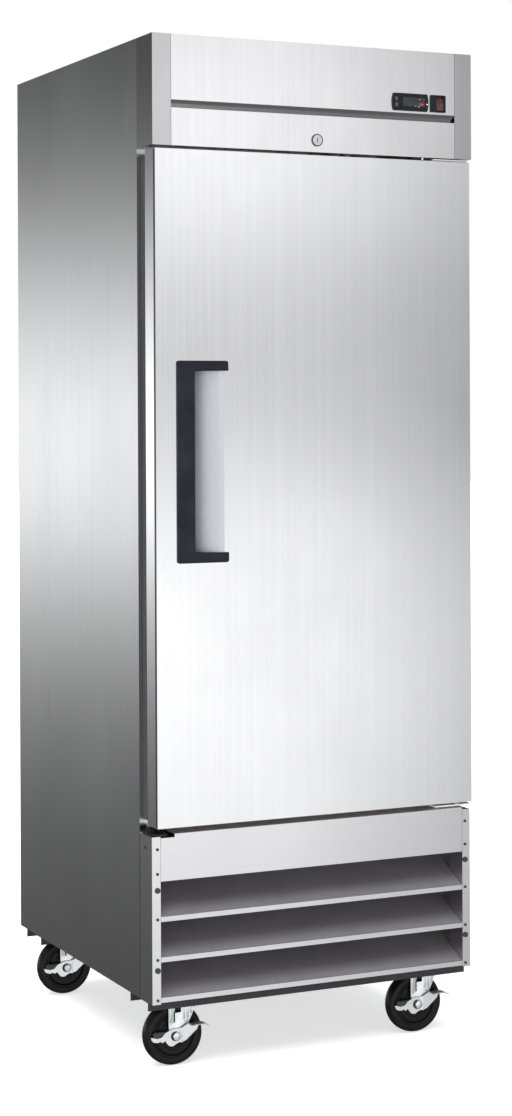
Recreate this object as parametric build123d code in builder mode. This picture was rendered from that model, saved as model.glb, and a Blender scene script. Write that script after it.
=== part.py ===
from build123d import *
import os
from math import cos, hypot, radians, sin, tan

# Reach-in refrigerator with one solid door: condensing unit at the bottom behind a louvred grille,
# controls and door lock in the header, four braked swivel casters.
# Millimetres. X to the right, Y to the back, Z up. The origin is on the floor, under the middle.

os.makedirs("parts", exist_ok=True)

# ---- overall sizes ----
cabinet_width = 729.0
cabinet_depth = 802.0  # front of the door to the back panel
cabinet_height = 1928.0  # without the casters
front_zone = 82.0  # depth of the header, door and grille in front of the body
skin = 1.0  # outer stainless sheet
fit = 0.3  # gap between pieces that move past each other
running_fit = 0.05  # radial gap of a pin or shaft in its bore

# ---- casters and the rails they are bolted to ----
wheel_diameter = 125.0
wheel_width = 32.0
hub_width = 35.0
caster_trail = 14.0  # kingpin to axle
caster_side_inset = 86.0  # kingpin to the side of the cabinet
front_caster_setback = 90.0  # kingpin behind the door face
rear_caster_setback = 87.0  # kingpin in front of the back panel
wheel_gap = 4.0  # tyre to fork crown
fork_sheet = 3.0
fork_gap = 1.0  # hub to fork leg
swivel_height = 5.5
swivel_diameter = 58.0
plate_sheet = 3.5
plate_length = 100.0
plate_width = 84.0
axle_diameter = 10.0
brake_sheet = 3.0
rail_sheet = 2.0
rail_width = 94.0
rail_drop = 18.0

# ---- heights from the floor up ----
grille_height = 333.0
fascia_rise = 4.0  # fascia above the grille posts
door_bottom_gap = 15.0
door_top_gap = 6.5
header_height = 221.5

# ---- insulated box ----
side_wall = 55.0
back_wall = 56.0
ceiling_wall = 56.0
header_wall = 45.0
door_overlap = 36.0  # door over the edge of the opening, top and bottom
breaker_width = 7.0
breaker_depth = 18.0
liner_sheet = 1.0

# ---- header ----
end_cap_width = 40.0
seam = 0.6
groove_rise = 75.0  # header bottom to the groove
groove_height = 16.0
groove_depth = 10.0
lock_rise = 24.5
lock_flange = 25.0
lock_body = 19.0
lock_plug_diameter = 13.0
lock_barrel_length = 26.0
cam_length = 39.0
cam_width = 10.0
cam_sheet = 2.5
thermostat_width = 84.4
thermostat_height = 36.5
thermostat_offset = 147.1  # right side of the cabinet to the middle of the thermostat
control_rise = 113.5  # header bottom to the middle of the controls
thermostat_proud = 4.0
key_width = 7.0
key_height = 9.0
key_travel = 0.8
switch_size = 36.0
switch_spacing = 6.0
rocker_width = 16.0
rocker_height = 28.0
rocker_tilt = 8.0

# ---- door ----
door_inset = 5.0  # door inside the width of the cabinet
door_pan_depth = 52.0
door_lip = 9.0
door_liner_depth = 10.0
gasket_width = 22.0
gasket_edge = 8.0  # gasket inside the edge of the cabinet, latch side
hinge_inset = 33.0
hinge_setback = 20.0
hinge_pin_diameter = 8.0
hinge_sheet = 3.0
hinge_leaf_width = 88.0
hinge_leaf_height = 42.0
bushing_diameter = 16.0
bushing_length = 22.0

# ---- door handle ----
handle_offset = 45.3  # latch edge of the door to the handle
handle_rise = 523.5  # bottom edge of the door to the handle
handle_width = 110.7
handle_height = 403.5
handle_bar = 37.0
handle_arm = 20.0
handle_proud = 6.0
pocket_depth = 30.0
pocket_wall = 2.0
handle_plate_sheet = 1.2

# ---- shelves ----
shelf_count = 3
shelf_levels = (290.0, 580.0, 870.0)  # above the interior floor
shelf_rod = 6.0
shelf_wire = 3.4
shelf_wire_pitch = 26.0
shelf_depth = 560.0
standard_width = 18.0
standard_depth = 8.0
slot_pitch = 25.4

# ---- grille ----
grille_setback = 18.0
grille_sheet = 1.2
post_width = 18.5
fascia_height = 93.0
louvre_count = 3
louvre_lip = 10.0
louvre_depth = 112.0
louvre_slope = 25.0
fastener_inset = 11.8
bumper_diameter = 11.5

# ---- machine compartment ----
condenser_setback = 190.0
condenser_width = 300.0
condenser_height = 250.0
condenser_thickness = 60.0
condenser_fan_diameter = 230.0
compressor_diameter = 165.0
compressor_height = 195.0

# ---- places worked out from the sizes ----
half = cabinet_width / 2
front = (handle_proud - cabinet_depth) / 2
back = front + cabinet_depth
body_front = front + front_zone
crown_bottom = wheel_diameter + wheel_gap
crown_top = crown_bottom + fork_sheet
plate_bottom = crown_top + swivel_height
plate_top = plate_bottom + plate_sheet
body_bottom = plate_top + rail_sheet
top = body_bottom + cabinet_height
grille_top = body_bottom + grille_height
fascia_top = grille_top + fascia_rise
door_bottom = fascia_top + door_bottom_gap
header_bottom = top - header_height
door_top = header_bottom - door_top_gap
inner_half = half - side_wall
inner_back = back - back_wall
inner_floor = door_bottom + door_overlap
inner_ceiling = top - ceiling_wall
opening_top = door_top - door_overlap
flange = side_wall - breaker_width


def fold(path, sheet):
    # Closed outline of a folded sheet. The path is one face and the metal lies to the left of it.
    other_face = []
    for i, (px, py) in enumerate(path):
        normals = []
        for a, b in ((i - 1, i), (i, i + 1)):
            if a >= 0 and b < len(path):
                dx = path[b][0] - path[a][0]
                dy = path[b][1] - path[a][1]
                length = hypot(dx, dy)
                normals.append((-dy / length, dx / length))
        nx = sum(n[0] for n in normals)
        ny = sum(n[1] for n in normals)
        scale = sheet * len(normals) / (nx * nx + ny * ny)
        other_face.append((px + nx * scale, py + ny * scale))
    return path + other_face[::-1]


def block(x0, x1, y0, y1, z0, z1, mode=Mode.ADD):
    # Box between two corners, in the part that is being built.
    with Locations(((x0 + x1) / 2, (y0 + y1) / 2, (z0 + z1) / 2)):
        Box(abs(x1 - x0), abs(y1 - y0), abs(z1 - z0), mode=mode)


def save(builder, name):
    builder.part.label = name
    export_step(builder.part, f"parts/{name}.step")


# ======== cabinet ========

# Side panels: one sheet each, folded over the front of the body above the machine compartment.
for name, side in (("left_side_panel", -1), ("right_side_panel", 1)):
    with BuildPart() as side_panel:
        block(side * half, side * (half - skin), body_front, back, body_bottom, top)
        block(
            side * half, side * (half - flange), body_front, body_front + skin,
            grille_top + skin, top - skin,
        )
    save(side_panel, name)

# Top panel with an apron that comes down behind the header to the opening.
with BuildPart() as top_panel:
    block(-half + skin, half - skin, body_front, back, top - skin, top)
    block(
        -half + flange, half - flange, body_front, body_front + skin,
        opening_top + breaker_width, top - skin,
    )
save(top_panel, "top_panel")

with BuildPart() as back_panel:
    block(-half + skin, half - skin, back - skin, back, grille_top + skin, top - skin)
save(back_panel, "back_panel")

# Floor pan: the ceiling of the machine compartment, folded up at the front to the opening.
with BuildPart() as floor_pan:
    block(-half + skin, half - skin, body_front, back, grille_top, grille_top + skin)
    block(
        -half + flange, half - flange, body_front, body_front + skin,
        grille_top + skin, inner_floor - breaker_width,
    )
save(floor_pan, "floor_pan")

# Thermal breaker: a plastic frame round the opening, between the outer sheets and the liner.
breaker_back = body_front + breaker_depth
with BuildPart() as breaker_frame:
    block(
        -inner_half - breaker_width, inner_half + breaker_width, body_front, breaker_back,
        inner_floor - breaker_width, opening_top + breaker_width,
    )
    block(-inner_half, inner_half, body_front, breaker_back, inner_floor, opening_top, mode=Mode.SUBTRACT)
save(breaker_frame, "breaker_frame")

# Inner liner: open at the front up to the top of the opening, and higher behind the header wall.
upper_front = body_front + header_wall
with BuildPart() as inner_liner:
    block(
        -inner_half - liner_sheet, inner_half + liner_sheet, breaker_back, inner_back + liner_sheet,
        inner_floor - liner_sheet, opening_top + liner_sheet,
    )
    block(
        -inner_half - liner_sheet, inner_half + liner_sheet,
        upper_front - liner_sheet, inner_back + liner_sheet,
        opening_top, inner_ceiling + liner_sheet,
    )
    block(-inner_half, inner_half, breaker_back, inner_back, inner_floor, opening_top, mode=Mode.SUBTRACT)
    block(-inner_half, inner_half, upper_front, inner_back, opening_top, inner_ceiling, mode=Mode.SUBTRACT)
save(inner_liner, "inner_liner")

# Foam between the outer sheets and the liner.
with BuildPart() as cabinet_insulation:
    block(-half + skin, half - skin, body_front + skin, back - skin, grille_top + skin, top - skin)
    block(
        -inner_half - breaker_width, inner_half + breaker_width, body_front + skin, breaker_back,
        inner_floor - breaker_width, opening_top + breaker_width, mode=Mode.SUBTRACT,
    )
    block(
        -inner_half - liner_sheet, inner_half + liner_sheet, breaker_back, inner_back + liner_sheet,
        inner_floor - liner_sheet, opening_top + liner_sheet, mode=Mode.SUBTRACT,
    )
    block(
        -inner_half - liner_sheet, inner_half + liner_sheet,
        upper_front - liner_sheet, inner_back + liner_sheet,
        opening_top, inner_ceiling + liner_sheet, mode=Mode.SUBTRACT,
    )
save(cabinet_insulation, "cabinet_insulation")

# Base frame: a shallow tray under the machine compartment.
base_sheet = 1.5
base_rim = 25.0
with BuildPart() as base_frame:
    block(-half + skin, half - skin, body_front, back, body_bottom, body_bottom + base_rim)
    block(
        -half + skin + base_sheet, half - skin - base_sheet, body_front + base_sheet, back - base_sheet,
        body_bottom + base_sheet, body_bottom + base_rim, mode=Mode.SUBTRACT,
    )
save(base_frame, "base_frame")

# Caster rails: channels, open at the bottom, across the whole width.
front_caster_y = front + front_caster_setback
rear_caster_y = back - rear_caster_setback
with BuildPart() as caster_rails:
    for rail_y in (front_caster_y, rear_caster_y):
        block(
            -half + skin, half - skin, rail_y - rail_width / 2, rail_y + rail_width / 2,
            body_bottom - rail_drop, body_bottom,
        )
        block(
            -half + skin, half - skin,
            rail_y - rail_width / 2 + rail_sheet, rail_y + rail_width / 2 - rail_sheet,
            body_bottom - rail_drop, body_bottom - rail_sheet, mode=Mode.SUBTRACT,
        )
save(caster_rails, "caster_rails")

# ======== header ========

header_return = front_zone - 6.0  # top and bottom folds stop short of the body, clear of the hinge leaf
with BuildPart() as header_end_caps:
    for side in (-1, 1):
        block(side * half, side * (half - end_cap_width), front, body_front, header_bottom, top)
        block(
            side * (half - skin), side * (half - end_cap_width), front + skin, body_front,
            header_bottom + skin, top - skin, mode=Mode.SUBTRACT,
        )
        block(
            side * (half - skin), side * (half - end_cap_width), front + header_return, body_front,
            header_bottom, header_bottom + skin, mode=Mode.SUBTRACT,
        )
save(header_end_caps, "header_end_caps")

panel_half = half - end_cap_width - seam
groove_bottom = header_bottom + groove_rise
control_z = header_bottom + control_rise
lock_z = header_bottom + lock_rise
thermostat_x = half - thermostat_offset
switch_x = thermostat_x + (thermostat_width + switch_size) / 2 + switch_spacing
thermostat_case_width = thermostat_width - 12.0
thermostat_case_height = thermostat_height - 7.0
switch_case = switch_size - 6.0
cam_slot_width = cam_sheet + 3.0
lock_y = front + lock_barrel_length + 1.0  # front face of the cam


def cam_slot_reach(drop):
    # How far out the tip of the turning cam is where it passes a level this far under the lock.
    return (cam_length**2 - drop**2) ** 0.5 + 3.0


header_path = [
    (front + header_return, header_bottom),
    (front, header_bottom),
    (front, groove_bottom),
    (front + groove_depth, groove_bottom + 1.5),
    (front, groove_bottom + groove_height),
    (front, top),
    (front + front_zone, top),
]
with BuildPart() as header_panel:
    with BuildSketch(Plane.YZ.offset(-panel_half)):
        Polygon(*fold(header_path[::-1], skin), align=None)
    extrude(amount=2 * panel_half)
    with BuildSketch(Plane.XZ.offset(-front + 1)):
        with Locations((0, lock_z)):
            Circle(lock_body / 2 + fit)
        with Locations((thermostat_x, control_z)):
            Rectangle(thermostat_case_width + 2 * fit, thermostat_case_height + 2 * fit)
        with Locations((switch_x, control_z)):
            Rectangle(switch_case + 2 * fit, switch_case + 2 * fit)
    extrude(amount=-skin - 2, mode=Mode.SUBTRACT)
    block(
        -cam_width / 2 - 3, cam_slot_reach(lock_rise), lock_y - 1.5, lock_y - 1.5 + cam_slot_width,
        header_bottom - 1, header_bottom + skin + 1, mode=Mode.SUBTRACT,
    )
save(header_panel, "header_panel")

# ---- thermostat ----
key_x = thermostat_x - thermostat_width / 2 + 8.0
key_gap = 0.4
key_depth = 2.6
key_levels = (("thermostat_set_key", -6.0), ("thermostat_arrow_key", 6.0))
end_bulge = 3.0
with BuildPart() as thermostat_body:
    with BuildSketch(Plane.XZ.offset(-front)):
        with BuildLine():
            straight = thermostat_width / 2 - end_bulge
            upper = control_z + thermostat_height / 2
            lower = control_z - thermostat_height / 2
            Line((thermostat_x - straight, upper), (thermostat_x + straight, upper))
            ThreePointArc(
                (thermostat_x + straight, upper),
                (thermostat_x + straight + end_bulge, control_z),
                (thermostat_x + straight, lower),
            )
            Line((thermostat_x + straight, lower), (thermostat_x - straight, lower))
            ThreePointArc(
                (thermostat_x - straight, lower),
                (thermostat_x - straight - end_bulge, control_z),
                (thermostat_x - straight, upper),
            )
        make_face()
    extrude(amount=thermostat_proud)
    fillet(thermostat_body.edges().filter_by(GeomType.LINE).group_by(Axis.Y)[0], radius=1.5)
    block(
        thermostat_x - thermostat_case_width / 2, thermostat_x + thermostat_case_width / 2, front, front + 46,
        control_z - thermostat_case_height / 2, control_z + thermostat_case_height / 2,
    )
    for name, level in key_levels:
        block(
            key_x - key_width / 2 - key_gap, key_x + key_width / 2 + key_gap,
            front - thermostat_proud - 1, front - thermostat_proud + key_depth,
            control_z + level - key_height / 2 - key_gap, control_z + level + key_height / 2 + key_gap,
            mode=Mode.SUBTRACT,
        )
save(thermostat_body, "thermostat_body")

for name, level in key_levels:
    with BuildPart() as thermostat_key:
        block(
            key_x - key_width / 2, key_x + key_width / 2,
            front - thermostat_proud - key_travel, front - thermostat_proud + key_depth - key_travel - fit,
            control_z + level - key_height / 2, control_z + level + key_height / 2,
        )
        fillet(thermostat_key.edges().filter_by(Axis.Y), radius=1.2)
    save(thermostat_key, name)

# ---- power switch ----
rocker_x = switch_x + 3.6
rocker_gap = 0.6
switch_proud = 3.0
with BuildPart() as switch_housing:
    with BuildSketch(Plane.XZ.offset(-front)):
        with Locations((switch_x, control_z)):
            RectangleRounded(switch_size, switch_size, 2.0)
    extrude(amount=switch_proud)
    block(
        switch_x - switch_case / 2, switch_x + switch_case / 2, front, front + 28,
        control_z - switch_case / 2, control_z + switch_case / 2,
    )
    block(
        rocker_x - rocker_width / 2 - rocker_gap, rocker_x + rocker_width / 2 + rocker_gap,
        front - switch_proud - 1, front + 16,
        control_z - rocker_height / 2 - rocker_gap, control_z + rocker_height / 2 + rocker_gap,
        mode=Mode.SUBTRACT,
    )
save(switch_housing, "switch_housing")

# Rocker, two flat faces that meet in a ridge, pressed in at the top. It turns about its middle.
rocker_axis_y = front - switch_proud + 4.0
ridge = 4.5
rocker_plane = Plane(
    origin=(rocker_x - rocker_width / 2, rocker_axis_y, control_z),
    x_dir=(0, sin(radians(rocker_tilt)), cos(radians(rocker_tilt))),
    z_dir=(1, 0, 0),
)
rocker_edge = ridge - rocker_height / 2 * tan(radians(rocker_tilt))
with BuildPart() as switch_rocker:
    with BuildSketch(rocker_plane):
        Polygon(
            (-rocker_height / 2, -3.0), (-rocker_height / 2 + 4, -8.0), (rocker_height / 2 - 4, -8.0),
            (rocker_height / 2, -3.0), (rocker_height / 2, rocker_edge), (0, ridge),
            (-rocker_height / 2, rocker_edge), align=None,
        )
    extrude(amount=rocker_width)
save(switch_rocker, "switch_rocker")

# ---- door lock ----
plug_radius = lock_plug_diameter / 2
with BuildPart() as lock_barrel:
    with BuildSketch(Plane.XZ.offset(-front)):
        with Locations((0, lock_z)):
            Circle(lock_flange / 2)
    extrude(amount=2.6)
    fillet(lock_barrel.edges().group_by(Axis.Y)[0], radius=1.0)
    with BuildSketch(Plane.XZ.offset(-front)):
        with Locations((0, lock_z)):
            Circle(lock_body / 2)
    extrude(amount=-lock_barrel_length)
    with BuildSketch(Plane.XZ.offset(-front + 3)):
        with Locations((0, lock_z)):
            Circle(plug_radius + running_fit)
    extrude(amount=-lock_barrel_length - 4, mode=Mode.SUBTRACT)
save(lock_barrel, "lock_barrel")

# Plug with its key slot, and the cam on its tail. The cam lies across when the door is unlocked.
with BuildPart() as lock_plug:
    with BuildSketch(Plane.XZ.offset(-front + 2.2)):
        with Locations((0, lock_z)):
            Circle(plug_radius)
            Rectangle(1.8, 8.0, mode=Mode.SUBTRACT)
    extrude(amount=-8)
    with BuildSketch(Plane.XZ.offset(-front - 5.8)):
        with Locations((0, lock_z)):
            Circle(plug_radius)
    extrude(amount=-(lock_y - front - 5.8))
    with BuildSketch(Plane.XZ.offset(-lock_y)):
        with Locations((0, lock_z)):
            Circle(cam_width / 2 + 2.5)
        with Locations((cam_length / 2, lock_z)):
            Rectangle(cam_length, cam_width)
    extrude(amount=-cam_sheet)
save(lock_plug, "lock_plug")

# ======== door ========

door_half = half - door_inset
pan_back = front + door_pan_depth
liner_back = pan_back + door_liner_depth
hinge_x = half - hinge_inset
hinge_y = front + hinge_setback
handle_left = -door_half + handle_offset
handle_right = handle_left + handle_width
handle_bottom = door_bottom + handle_rise
handle_top = handle_bottom + handle_height
pocket_left = handle_left + 6.2
pocket_bottom = handle_bottom + handle_arm
pocket_top = handle_top - handle_arm
bar_right = handle_left + handle_bar
plate_right = handle_right - 8.5
ramp_start = bar_right + 15.0
ramp_end = plate_right - 10.0
cup_right = plate_right - 8.0
lock_pocket_drop = cam_length - lock_rise - door_top_gap + 4.0


def handle_pocket(y0, y1, margin):
    # Space that the handle's cup takes up in the door.
    block(
        pocket_left - margin, cup_right, y0, y1,
        pocket_bottom - pocket_wall - margin, pocket_top + pocket_wall + margin, mode=Mode.SUBTRACT,
    )


def lock_pocket():
    # Slot in the top edge of the door that the cam turns down into.
    block(
        -cam_width / 2 - 3, cam_slot_reach(lock_rise + door_top_gap),
        lock_y - 1.5, lock_y - 1.5 + cam_slot_width,
        door_top - lock_pocket_drop, door_top + 1, mode=Mode.SUBTRACT,
    )


def bushing_bores():
    # Bores for the two hinge bushings in the ends of the door.
    for end in (door_bottom - 1, door_top - bushing_length):
        with BuildSketch(Plane.XY.offset(end)) as bore:
            with Locations((hinge_x, hinge_y)):
                Circle(bushing_diameter / 2)
        extrude(bore.sketch, amount=bushing_length + 1, mode=Mode.SUBTRACT)


with BuildPart() as door_skin:
    block(-door_half, door_half, front, pan_back, door_bottom, door_top)
    fillet(door_skin.edges().filter_by(Axis.Z).group_by(Axis.Y)[0], radius=skin)
    block(
        -door_half + skin, door_half - skin, front + skin, pan_back - skin,
        door_bottom + skin, door_top - skin, mode=Mode.SUBTRACT,
    )
    block(
        -door_half + door_lip, door_half - door_lip, pan_back - skin, pan_back,
        door_bottom + door_lip, door_top - door_lip, mode=Mode.SUBTRACT,
    )
    handle_pocket(front - 1, front + skin + 1, fit)
    lock_pocket()
    bushing_bores()
save(door_skin, "door_skin")

# Door liner: a tray that closes the back of the door, raised in the middle, inside the gasket.
tray_half = door_half - door_lip
tray_sheet = 1.5
raised = 12.0
gasket_left = -half + gasket_edge
gasket_right = half - hinge_inset
gasket_bottom = door_bottom + gasket_edge
gasket_top = door_top - gasket_edge
raised_margin = gasket_width + 3.0
with BuildPart() as door_liner:
    block(-tray_half, tray_half, pan_back, liner_back, door_bottom + door_lip, door_top - door_lip)
    block(
        gasket_left + raised_margin, gasket_right - raised_margin, liner_back, liner_back + raised,
        gasket_bottom + raised_margin, gasket_top - raised_margin,
    )
    fillet(door_liner.faces().sort_by(Axis.Y)[-1].edges(), radius=6.0)
    block(
        -tray_half + tray_sheet, tray_half - tray_sheet, pan_back, liner_back - tray_sheet,
        door_bottom + door_lip + tray_sheet, door_top - door_lip - tray_sheet, mode=Mode.SUBTRACT,
    )
save(door_liner, "door_liner")

with BuildPart() as door_insulation:
    block(
        -door_half + skin, door_half - skin, front + skin, pan_back - skin,
        door_bottom + skin, door_top - skin,
    )
    block(
        -tray_half + tray_sheet, tray_half - tray_sheet, pan_back - skin, liner_back - tray_sheet,
        door_bottom + door_lip + tray_sheet, door_top - door_lip - tray_sheet,
    )
    handle_pocket(front, front + pocket_depth + pocket_wall + fit, fit)
    lock_pocket()
    bushing_bores()
save(door_insulation, "door_insulation")

with BuildPart() as door_gasket:
    block(gasket_left, gasket_right, liner_back, body_front - fit, gasket_bottom, gasket_top)
    block(
        gasket_left + gasket_width, gasket_right - gasket_width, liner_back, body_front - fit,
        gasket_bottom + gasket_width, gasket_top - gasket_width, mode=Mode.SUBTRACT,
    )
save(door_gasket, "door_gasket")

# ---- handle ----
cup_back = front + pocket_depth
ramp_path = [
    (pocket_left + pocket_wall, cup_back),
    (ramp_start, cup_back),
    (ramp_end, front),
    (plate_right, front),
]
plate_outline = fold(ramp_path[::-1], handle_plate_sheet)
cup_outline = [
    (pocket_left, front),
    (pocket_left, cup_back + pocket_wall),
    (ramp_start + 2, cup_back + pocket_wall),
    (cup_right - 1, front + skin + 1),
    (cup_right - 1, front),
]
handle_back = front + 3.0  # back of the bar
with BuildPart() as handle_frame:
    with BuildSketch(Plane.XZ.offset(-front)) as bezel:
        with Locations(((handle_left + handle_right) / 2, (handle_bottom + handle_top) / 2)):
            Rectangle(handle_width, handle_height)
        fillet(bezel.vertices(), radius=5.0)
        with BuildSketch(Plane.XZ.offset(-front), mode=Mode.PRIVATE) as window:
            with Locations(((bar_right + handle_right + 20) / 2, (pocket_bottom + pocket_top) / 2)):
                Rectangle(handle_right + 20 - bar_right, pocket_top - pocket_bottom)
            fillet(window.vertices().group_by(Axis.X)[0], radius=9.0)
        add(window.sketch, mode=Mode.SUBTRACT)
    extrude(amount=handle_proud)
    fillet(handle_frame.faces().sort_by(Axis.Y)[0].edges(), radius=1.8)
    block(pocket_left, bar_right, front, handle_back, pocket_bottom - pocket_wall, pocket_top + pocket_wall)
    with BuildSketch(Plane.XY.offset(pocket_bottom - pocket_wall)):
        Polygon(*cup_outline, align=None)
    extrude(amount=pocket_top - pocket_bottom + 2 * pocket_wall)
    with BuildSketch(Plane.XY.offset(pocket_bottom)):
        Polygon(
            (pocket_left + pocket_wall, handle_back),
            (pocket_left + pocket_wall, cup_back),
            (ramp_start, cup_back),
            (ramp_end, front),
            (ramp_end, front - handle_proud - 1),
            (bar_right, front - handle_proud - 1),
            (bar_right, handle_back),
            align=None,
        )
        Polygon(
            (ramp_end - 1, front - 1), (ramp_end - 1, front + 1),
            (cup_right, front + 1), (cup_right, front - 1), align=None,
        )
    extrude(amount=pocket_top - pocket_bottom, mode=Mode.SUBTRACT)
save(handle_frame, "handle_frame")

with BuildPart() as handle_plate:
    with BuildSketch(Plane.XY.offset(pocket_bottom + fit)):
        Polygon(*plate_outline, align=None)
    extrude(amount=pocket_top - pocket_bottom - 2 * fit)
save(handle_plate, "handle_plate")

# ---- hinges ----
leaf_right = door_half
leaf_left = leaf_right - hinge_leaf_width
leaf_front = front + 4.0
pin_length = bushing_length - 4.0
top_leaf = door_top + (door_top_gap - hinge_sheet) / 2
bottom_leaf = door_bottom - hinge_sheet - 4.5
bushing_flange = 0.8
post_inner = half - post_width

# Top hinge: a leaf in the gap above the door, folded up behind the header, with a pin pointing down.
with BuildPart() as top_hinge_plate:
    with BuildSketch(Plane.XY.offset(top_leaf)) as leaf:
        with Locations(((leaf_left + leaf_right) / 2, (leaf_front + body_front) / 2)):
            Rectangle(hinge_leaf_width, body_front - leaf_front)
        fillet(leaf.vertices().group_by(Axis.Y)[0], radius=8.0)
    extrude(amount=hinge_sheet)
    block(
        leaf_left, leaf_right - skin, body_front - hinge_sheet, body_front,
        top_leaf + hinge_sheet, top_leaf + hinge_sheet + hinge_leaf_height,
    )
    with BuildSketch(Plane.XY.offset(top_leaf - pin_length)):
        with Locations((hinge_x, hinge_y)):
            Circle(hinge_pin_diameter / 2)
    extrude(amount=pin_length)
save(top_hinge_plate, "top_hinge_plate")

# Bottom hinge: folded down behind the grille, with a collar that carries the door and a pin pointing up.
with BuildPart() as bottom_hinge_plate:
    with BuildSketch(Plane.XY.offset(bottom_leaf)) as leaf:
        with Locations(((leaf_left + leaf_right) / 2, (leaf_front + body_front) / 2)):
            Rectangle(hinge_leaf_width, body_front - leaf_front)
        fillet(leaf.vertices().group_by(Axis.Y)[0], radius=8.0)
    extrude(amount=hinge_sheet)
    block(
        leaf_left, post_inner - 2, body_front - hinge_sheet, body_front,
        bottom_leaf - hinge_leaf_height, bottom_leaf,
    )
    with BuildSketch(Plane.XY.offset(bottom_leaf + hinge_sheet)):
        with Locations((hinge_x, hinge_y)):
            Circle(hinge_pin_diameter / 2 + 3)
    extrude(amount=door_bottom - bushing_flange - fit - bottom_leaf - hinge_sheet)
    with BuildSketch(Plane.XY.offset(bottom_leaf + hinge_sheet)):
        with Locations((hinge_x, hinge_y)):
            Circle(hinge_pin_diameter / 2)
    extrude(amount=pin_length + door_bottom - bottom_leaf - hinge_sheet - 4)
save(bottom_hinge_plate, "bottom_hinge_plate")

# Flanged bushings pressed into the top and bottom edges of the door.
with BuildPart() as hinge_bushings:
    for start, flange_start in (
        (door_bottom, door_bottom - bushing_flange),
        (door_top - bushing_length, door_top),
    ):
        with BuildSketch(Plane.XY.offset(start)):
            with Locations((hinge_x, hinge_y)):
                Circle(bushing_diameter / 2)
        extrude(amount=bushing_length)
        with BuildSketch(Plane.XY.offset(flange_start)):
            with Locations((hinge_x, hinge_y)):
                Circle(bushing_diameter / 2 + 2)
        extrude(amount=bushing_flange)
    with BuildSketch(Plane.XY.offset(door_bottom - 2)):
        with Locations((hinge_x, hinge_y)):
            Circle(hinge_pin_diameter / 2 + running_fit)
    extrude(amount=door_top - door_bottom + 4, mode=Mode.SUBTRACT)
save(hinge_bushings, "hinge_bushings")

# Cover over the unused hinge holes at the lower left corner, with a round plug.
cover_width = 33.0
cover_thickness = 5.0
plug_height = 7.0
with BuildPart() as hinge_hole_cover:
    with BuildSketch(Plane.XY.offset(grille_top)) as cover:
        with Locations((-half + 1.5 + cover_width / 2, (front + grille_setback + body_front) / 2)):
            Rectangle(cover_width, body_front - front - grille_setback - 2)
        fillet(cover.vertices(), radius=3.0)
    extrude(amount=cover_thickness)
    with BuildSketch(Plane.XY.offset(grille_top + cover_thickness)):
        with Locations((-half + 14.5, front + 54)):
            Circle(12.0)
    extrude(amount=plug_height)
save(hinge_hole_cover, "hinge_hole_cover")

# ======== grille ========

grille_front = front + grille_setback
louvre_bottom = body_bottom + 3.0
fascia_bottom = fascia_top - fascia_height
louvre_pitch = (fascia_bottom - louvre_bottom) / louvre_count
louvre_levels = [louvre_bottom + i * louvre_pitch for i in range(louvre_count)]
screw_levels = [level + louvre_lip / 2 for level in louvre_levels] + [fascia_bottom + 15.0, fascia_top - 29.0]
bumper_levels = [louvre_levels[1] - 16.0, fascia_bottom - 17.5]
screw_shank = 4.0
screw_head = 6.0
screw_head_height = 1.8
fastener_x = half - fastener_inset
side_screw_y = front + 52.6


def front_circles(levels, radius):
    # Circles at the same levels on both posts, in the sketch that is open.
    for side in (-1, 1):
        for level in levels:
            with Locations((side * fastener_x, level)):
                Circle(radius)


# Posts: channels at the two corners, the same part left and right, with holes for the screws.
post_path = [
    (post_inner, grille_front + 52),
    (post_inner, grille_front),
    (half, grille_front),
    (half, body_front),
]
with BuildPart() as grille_posts:
    with BuildSketch(Plane.XY.offset(body_bottom)):
        Polygon(*fold(post_path, grille_sheet), align=None)
    extrude(amount=grille_height)
    mirror(about=Plane.YZ)
    with BuildSketch(Plane.XZ.offset(-grille_front + 1)):
        front_circles(screw_levels + bumper_levels, screw_shank / 2 + fit)
    extrude(amount=-grille_sheet - 2, mode=Mode.SUBTRACT)
    for side in (-1, 1):
        with BuildSketch(Plane.YZ.offset(side * (half + 1))):
            with Locations((side_screw_y, screw_levels[-1])):
                Circle(screw_shank / 2 + fit)
        extrude(amount=-side * (grille_sheet + 2), mode=Mode.SUBTRACT)
save(grille_posts, "grille_posts")

# Screws and round rubber bumpers on the front of the posts.
with BuildPart() as grille_fasteners:
    with BuildSketch(Plane.XZ.offset(-grille_front)):
        front_circles(screw_levels, screw_head / 2)
    extrude(amount=screw_head_height)
    fillet(grille_fasteners.edges().group_by(Axis.Y)[0], radius=0.8)
    with BuildSketch(Plane.XZ.offset(-grille_front)):
        front_circles(screw_levels, screw_shank / 2)
    extrude(amount=-8)
    with BuildSketch(Plane.XZ.offset(-grille_front)):
        front_circles(bumper_levels, bumper_diameter / 2)
    extrude(amount=3.6)
    fillet(grille_fasteners.edges().group_by(Axis.Y)[0], radius=2.4)
    with BuildSketch(Plane.XZ.offset(-grille_front)):
        front_circles(bumper_levels, screw_shank / 2)
    extrude(amount=-6)
    for side in (-1, 1):
        for radius, height in ((screw_head / 2, screw_head_height), (screw_shank / 2, -5)):
            with BuildSketch(Plane.YZ.offset(side * half)):
                with Locations((side_screw_y, screw_levels[-1])):
                    Circle(radius)
            extrude(amount=side * height)
save(grille_fasteners, "grille_fasteners")

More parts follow.
